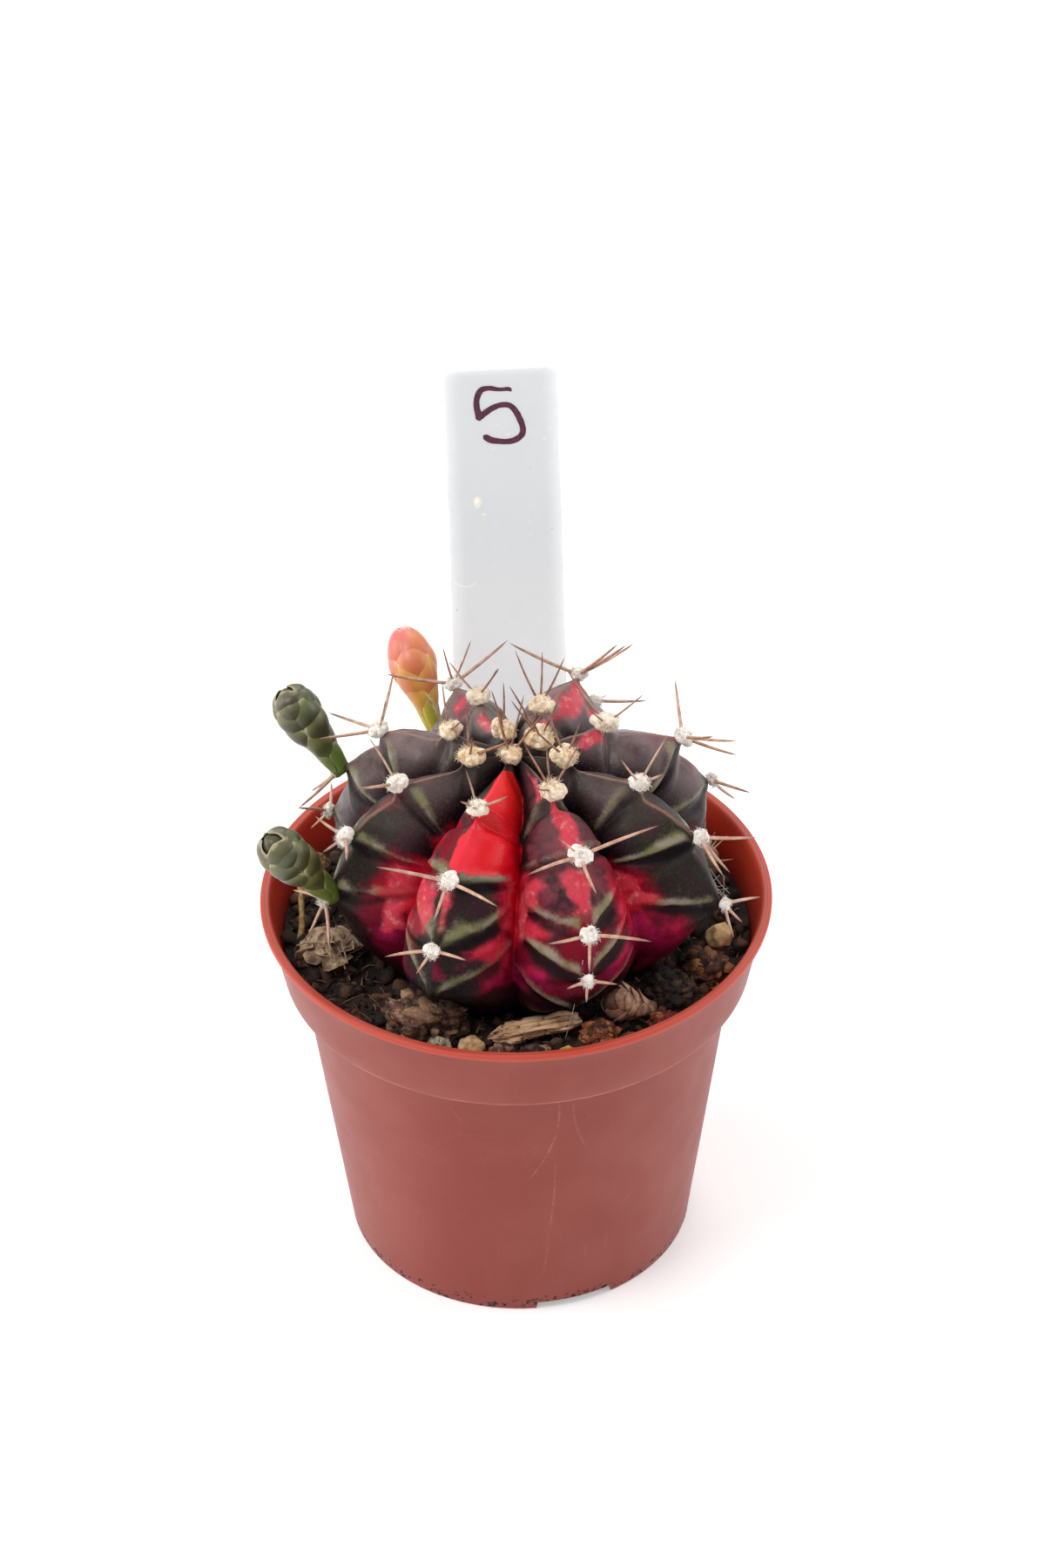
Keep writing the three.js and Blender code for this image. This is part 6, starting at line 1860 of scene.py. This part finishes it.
ball_points, ball_faces = ball(4)
flower = Heap()
core = ball_points * (1 + 0.3 * layered(ball_points, 0.7, 5.0, 4))[:, None]
core = core * np.array(FLOWER_HALF) * 0.5 + FLOWER_AT - (0, 0, 0.5)
flower.add(core, ball_faces, rim=0.0, root=0.2)
for n in range(FLOWER_LEAVES):
    add_heap_leaf(flower, n)
for n in range(TWIGS):
    add_twig(flower, n)
flower_look = papery("dry_flower_heap", srgb(200, 172, 138), srgb(126, 98, 76), srgb(46, 32, 26))
finish_piece("dry_flower_heap", flower.mesh("dry_flower_heap"), flower_look, "dry_flower")

straw = Heap()
t = np.linspace(0, 1, 16)
path = STRAW_FOOT + (STRAW_TOP - STRAW_FOOT) * t[:, None]
path = path + np.array([0.25, 0, 0.2]) * np.sin(t * 5)[:, None]
points, faces, share = tubes(path[None], (0.6 - 0.14 * t + 0.05 * noise(t * 9, 0, 0))[None], 12)
straw.add(points, faces, tip=share)
knob_points, knob_faces = ball(3)
knob = knob_points * (1 + 0.3 * layered(knob_points, 0.8, 3.3, 3))[:, None] * (1.1, 1.1, 1.2)
straw.add(knob + STRAW_TOP, knob_faces, tip=1.0)


def straw_finish():
    f = Finish("dry_straw")
    grain = f.cloud(0.5, 4, 0.6, stretch=(1, 1, 5))
    colour = f.paint(
        srgb(176, 148, 92), (grain.rise(0.35, 0.65), srgb(126, 98, 54)),
        (f.stored("tip").rise(0.85, 1.0), srgb(214, 162, 62)))
    return f.surface(Base_Color=colour, Roughness=0.7, Normal=f.bump(grain, 0.1))


finish_piece("dry_straw", straw.mesh("dry_straw"), straw_finish(), "dry_stalk")

# %% [markdown]
# ## The dry offset
# Behind the plant on the right sits a small dried globe with a smaller head on top, pale spines and a
# tangle of cobweb in front. It is the lump again, with ribs worked into it, and the spines and
# threads are tubes, kept inside the pot.

# %% Dry offset
OFFSET_AT, OFFSET_HALF, OFFSET_SPINES = np.array([31, 13.2, 62.2]), np.array([3.2, 3.2, 4.2]), 14
WEB_THREADS, WEB_TONE, WEB_RADIUS, WEB_EDGE = 12, 1.4, 0.06, 36.8


def web_end(n, k):
    """One end of the nth thread: k is 0 at its upper end and 1 at its lower end."""
    chance = lambda axis: draw(n, axis, 63 + k)
    return OFFSET_AT + (5 * chance(1) - 1 + k, -3.5 - 5 * chance(2) - k, 2.5 - 2.2 * k - 2 * chance(3))


offset = Heap()
p = ball_points
ribs = 0.07 * np.cos(8 * np.arctan2(p[:, 1], p[:, 0])) * np.sqrt(np.clip(1 - p[:, 2] ** 2, 0, 1))
shape = 1 + 0.12 * noise(1.7 * p[:, 0] + 11, 1.7 * p[:, 1], 1.7 * p[:, 2]) + ribs
shape = shape + 0.06 * layered(p, 0.5, 2.0, 3)
offset.add(p * shape[:, None] * OFFSET_HALF + OFFSET_AT, ball_faces, tone=0.0)
head = p * (1.7, 1.7, 1.4) * (1 + 0.12 * layered(p, 0.6, 4.0, 3))[:, None]
offset.add(head + OFFSET_AT + (0.4, 1.2, 3.7), ball_faces, tone=0.35)
t = np.linspace(0, 1, 8)
for n in range(OFFSET_SPINES):
    height = 0.05 + 0.9 * (n + 0.5) / OFFSET_SPINES
    level = math.sqrt(1 - height * height)
    out = np.array([level * math.cos(n * 2.4), level * math.sin(n * 2.4), height])
    path = out * OFFSET_HALF * 0.9 + OFFSET_AT + out * ((2.7 + height) * t)[:, None]
    path[:, 2] += 0.25 * t**2
    offset.add_tube(path, 0.2 * (1 - 0.85 * t), 6, tone=1.0)
for n in range(WEB_THREADS):
    start, end = web_end(n, 0), web_end(n, 1)
    path = start + (end - start) * t[:, None]
    path[:, 2] -= 0.5 * np.sin(np.pi * t)
    path[:, :2] *= np.minimum(1, WEB_EDGE / np.hypot(path[:, 0], path[:, 1]))[:, None]
    offset.add_tube(path, WEB_RADIUS, 4, tone=WEB_TONE)


def offset_finish():
    f = Finish("dry_offset_globe")
    tone = f.stored("tone")
    colour = f.paint(
        srgb(112, 108, 82),
        (f.cloud(1.1, 4, 0.6).rise(0.35, 0.65), srgb(168, 146, 116)),
        (f.cloud(0.5, 3, seed=3).rise(0.55, 0.75) * 0.6, srgb(54, 46, 38)),
        (tone, srgb(222, 200, 176)),
        (tone.rise(1.1, 1.3), srgb(244, 244, 242)))
    return f.surface(Base_Color=colour, Roughness=0.8, Normal=f.bump(f.cloud(0.5, 4), 0.15))


offset_mesh = offset.mesh("dry_offset_globe")
finish_piece("dry_offset_globe", offset_mesh, offset_finish(), "dry_offset")
print("faces in all:", sum(piece_faces.values()))

# %% [markdown]
# ## Floor and light
# The plant stands on white in even studio light. A wide white floor and a white surrounding give the
# soft fill. Four round lamps, above, at both sides and behind, give the faint shadows and lights.

# %% Floor and light
FLOOR_HALF_MM = 12000
LAMPS = {  # place in m, width in m, watts
    "key_lamp": ((-0.6, -0.4, 1.2), 0.6, 7), "left_lamp": ((-1.3, 0.1, 0.5), 1.0, 7),
    "right_lamp": ((1.3, 0.2, 0.6), 1.0, 6), "back_lamp": ((0.1, 1.0, 1.2), 1.0, 7),
}
LAMP_AIM = Vector((0, 0, 0.06))
AIR_STRENGTH, FLOOR_GLOW = 0.6, 0.3
WHITE = (1.0, 1.0, 1.0, 1)


def add_floor():
    half = FLOOR_HALF_MM
    points = [(-half, -half, 0), (half, -half, 0), (half, half, 0), (-half, half, 0)]
    floor_mesh = make_mesh("floor", points, [(0, 1, 2, 3)])
    f = Finish("floor_white")
    colour = f.mix(f.cloud(40, 2), (0.86, 0.86, 0.86, 1), (0.88, 0.88, 0.88, 1))
    floor_mesh.materials.append(f.surface(
        Base_Color=colour, Roughness=0.9, Emission_Color=WHITE, Emission_Strength=FLOOR_GLOW))
    add_object("floor", floor_mesh)


def add_lamp(name, at, size, power):
    lamp = bpy.data.lights.new(name, "AREA")
    lamp.shape, lamp.size, lamp.energy = "DISK", size, power
    holder = add_object(name, lamp)
    holder.location = at
    holder.rotation_euler = (LAMP_AIM - Vector(at)).to_track_quat("-Z", "Y").to_euler()


add_floor()
for name, lamp in LAMPS.items():
    add_lamp(name, *lamp)
world = bpy.data.worlds.new("studio")
world.use_nodes = True
air = world.node_tree.nodes["Background"].inputs
air["Color"].default_value = WHITE
air["Strength"].default_value = AIR_STRENGTH
bpy.context.scene.world = world
bpy.context.scene.view_settings.view_transform = "Standard"
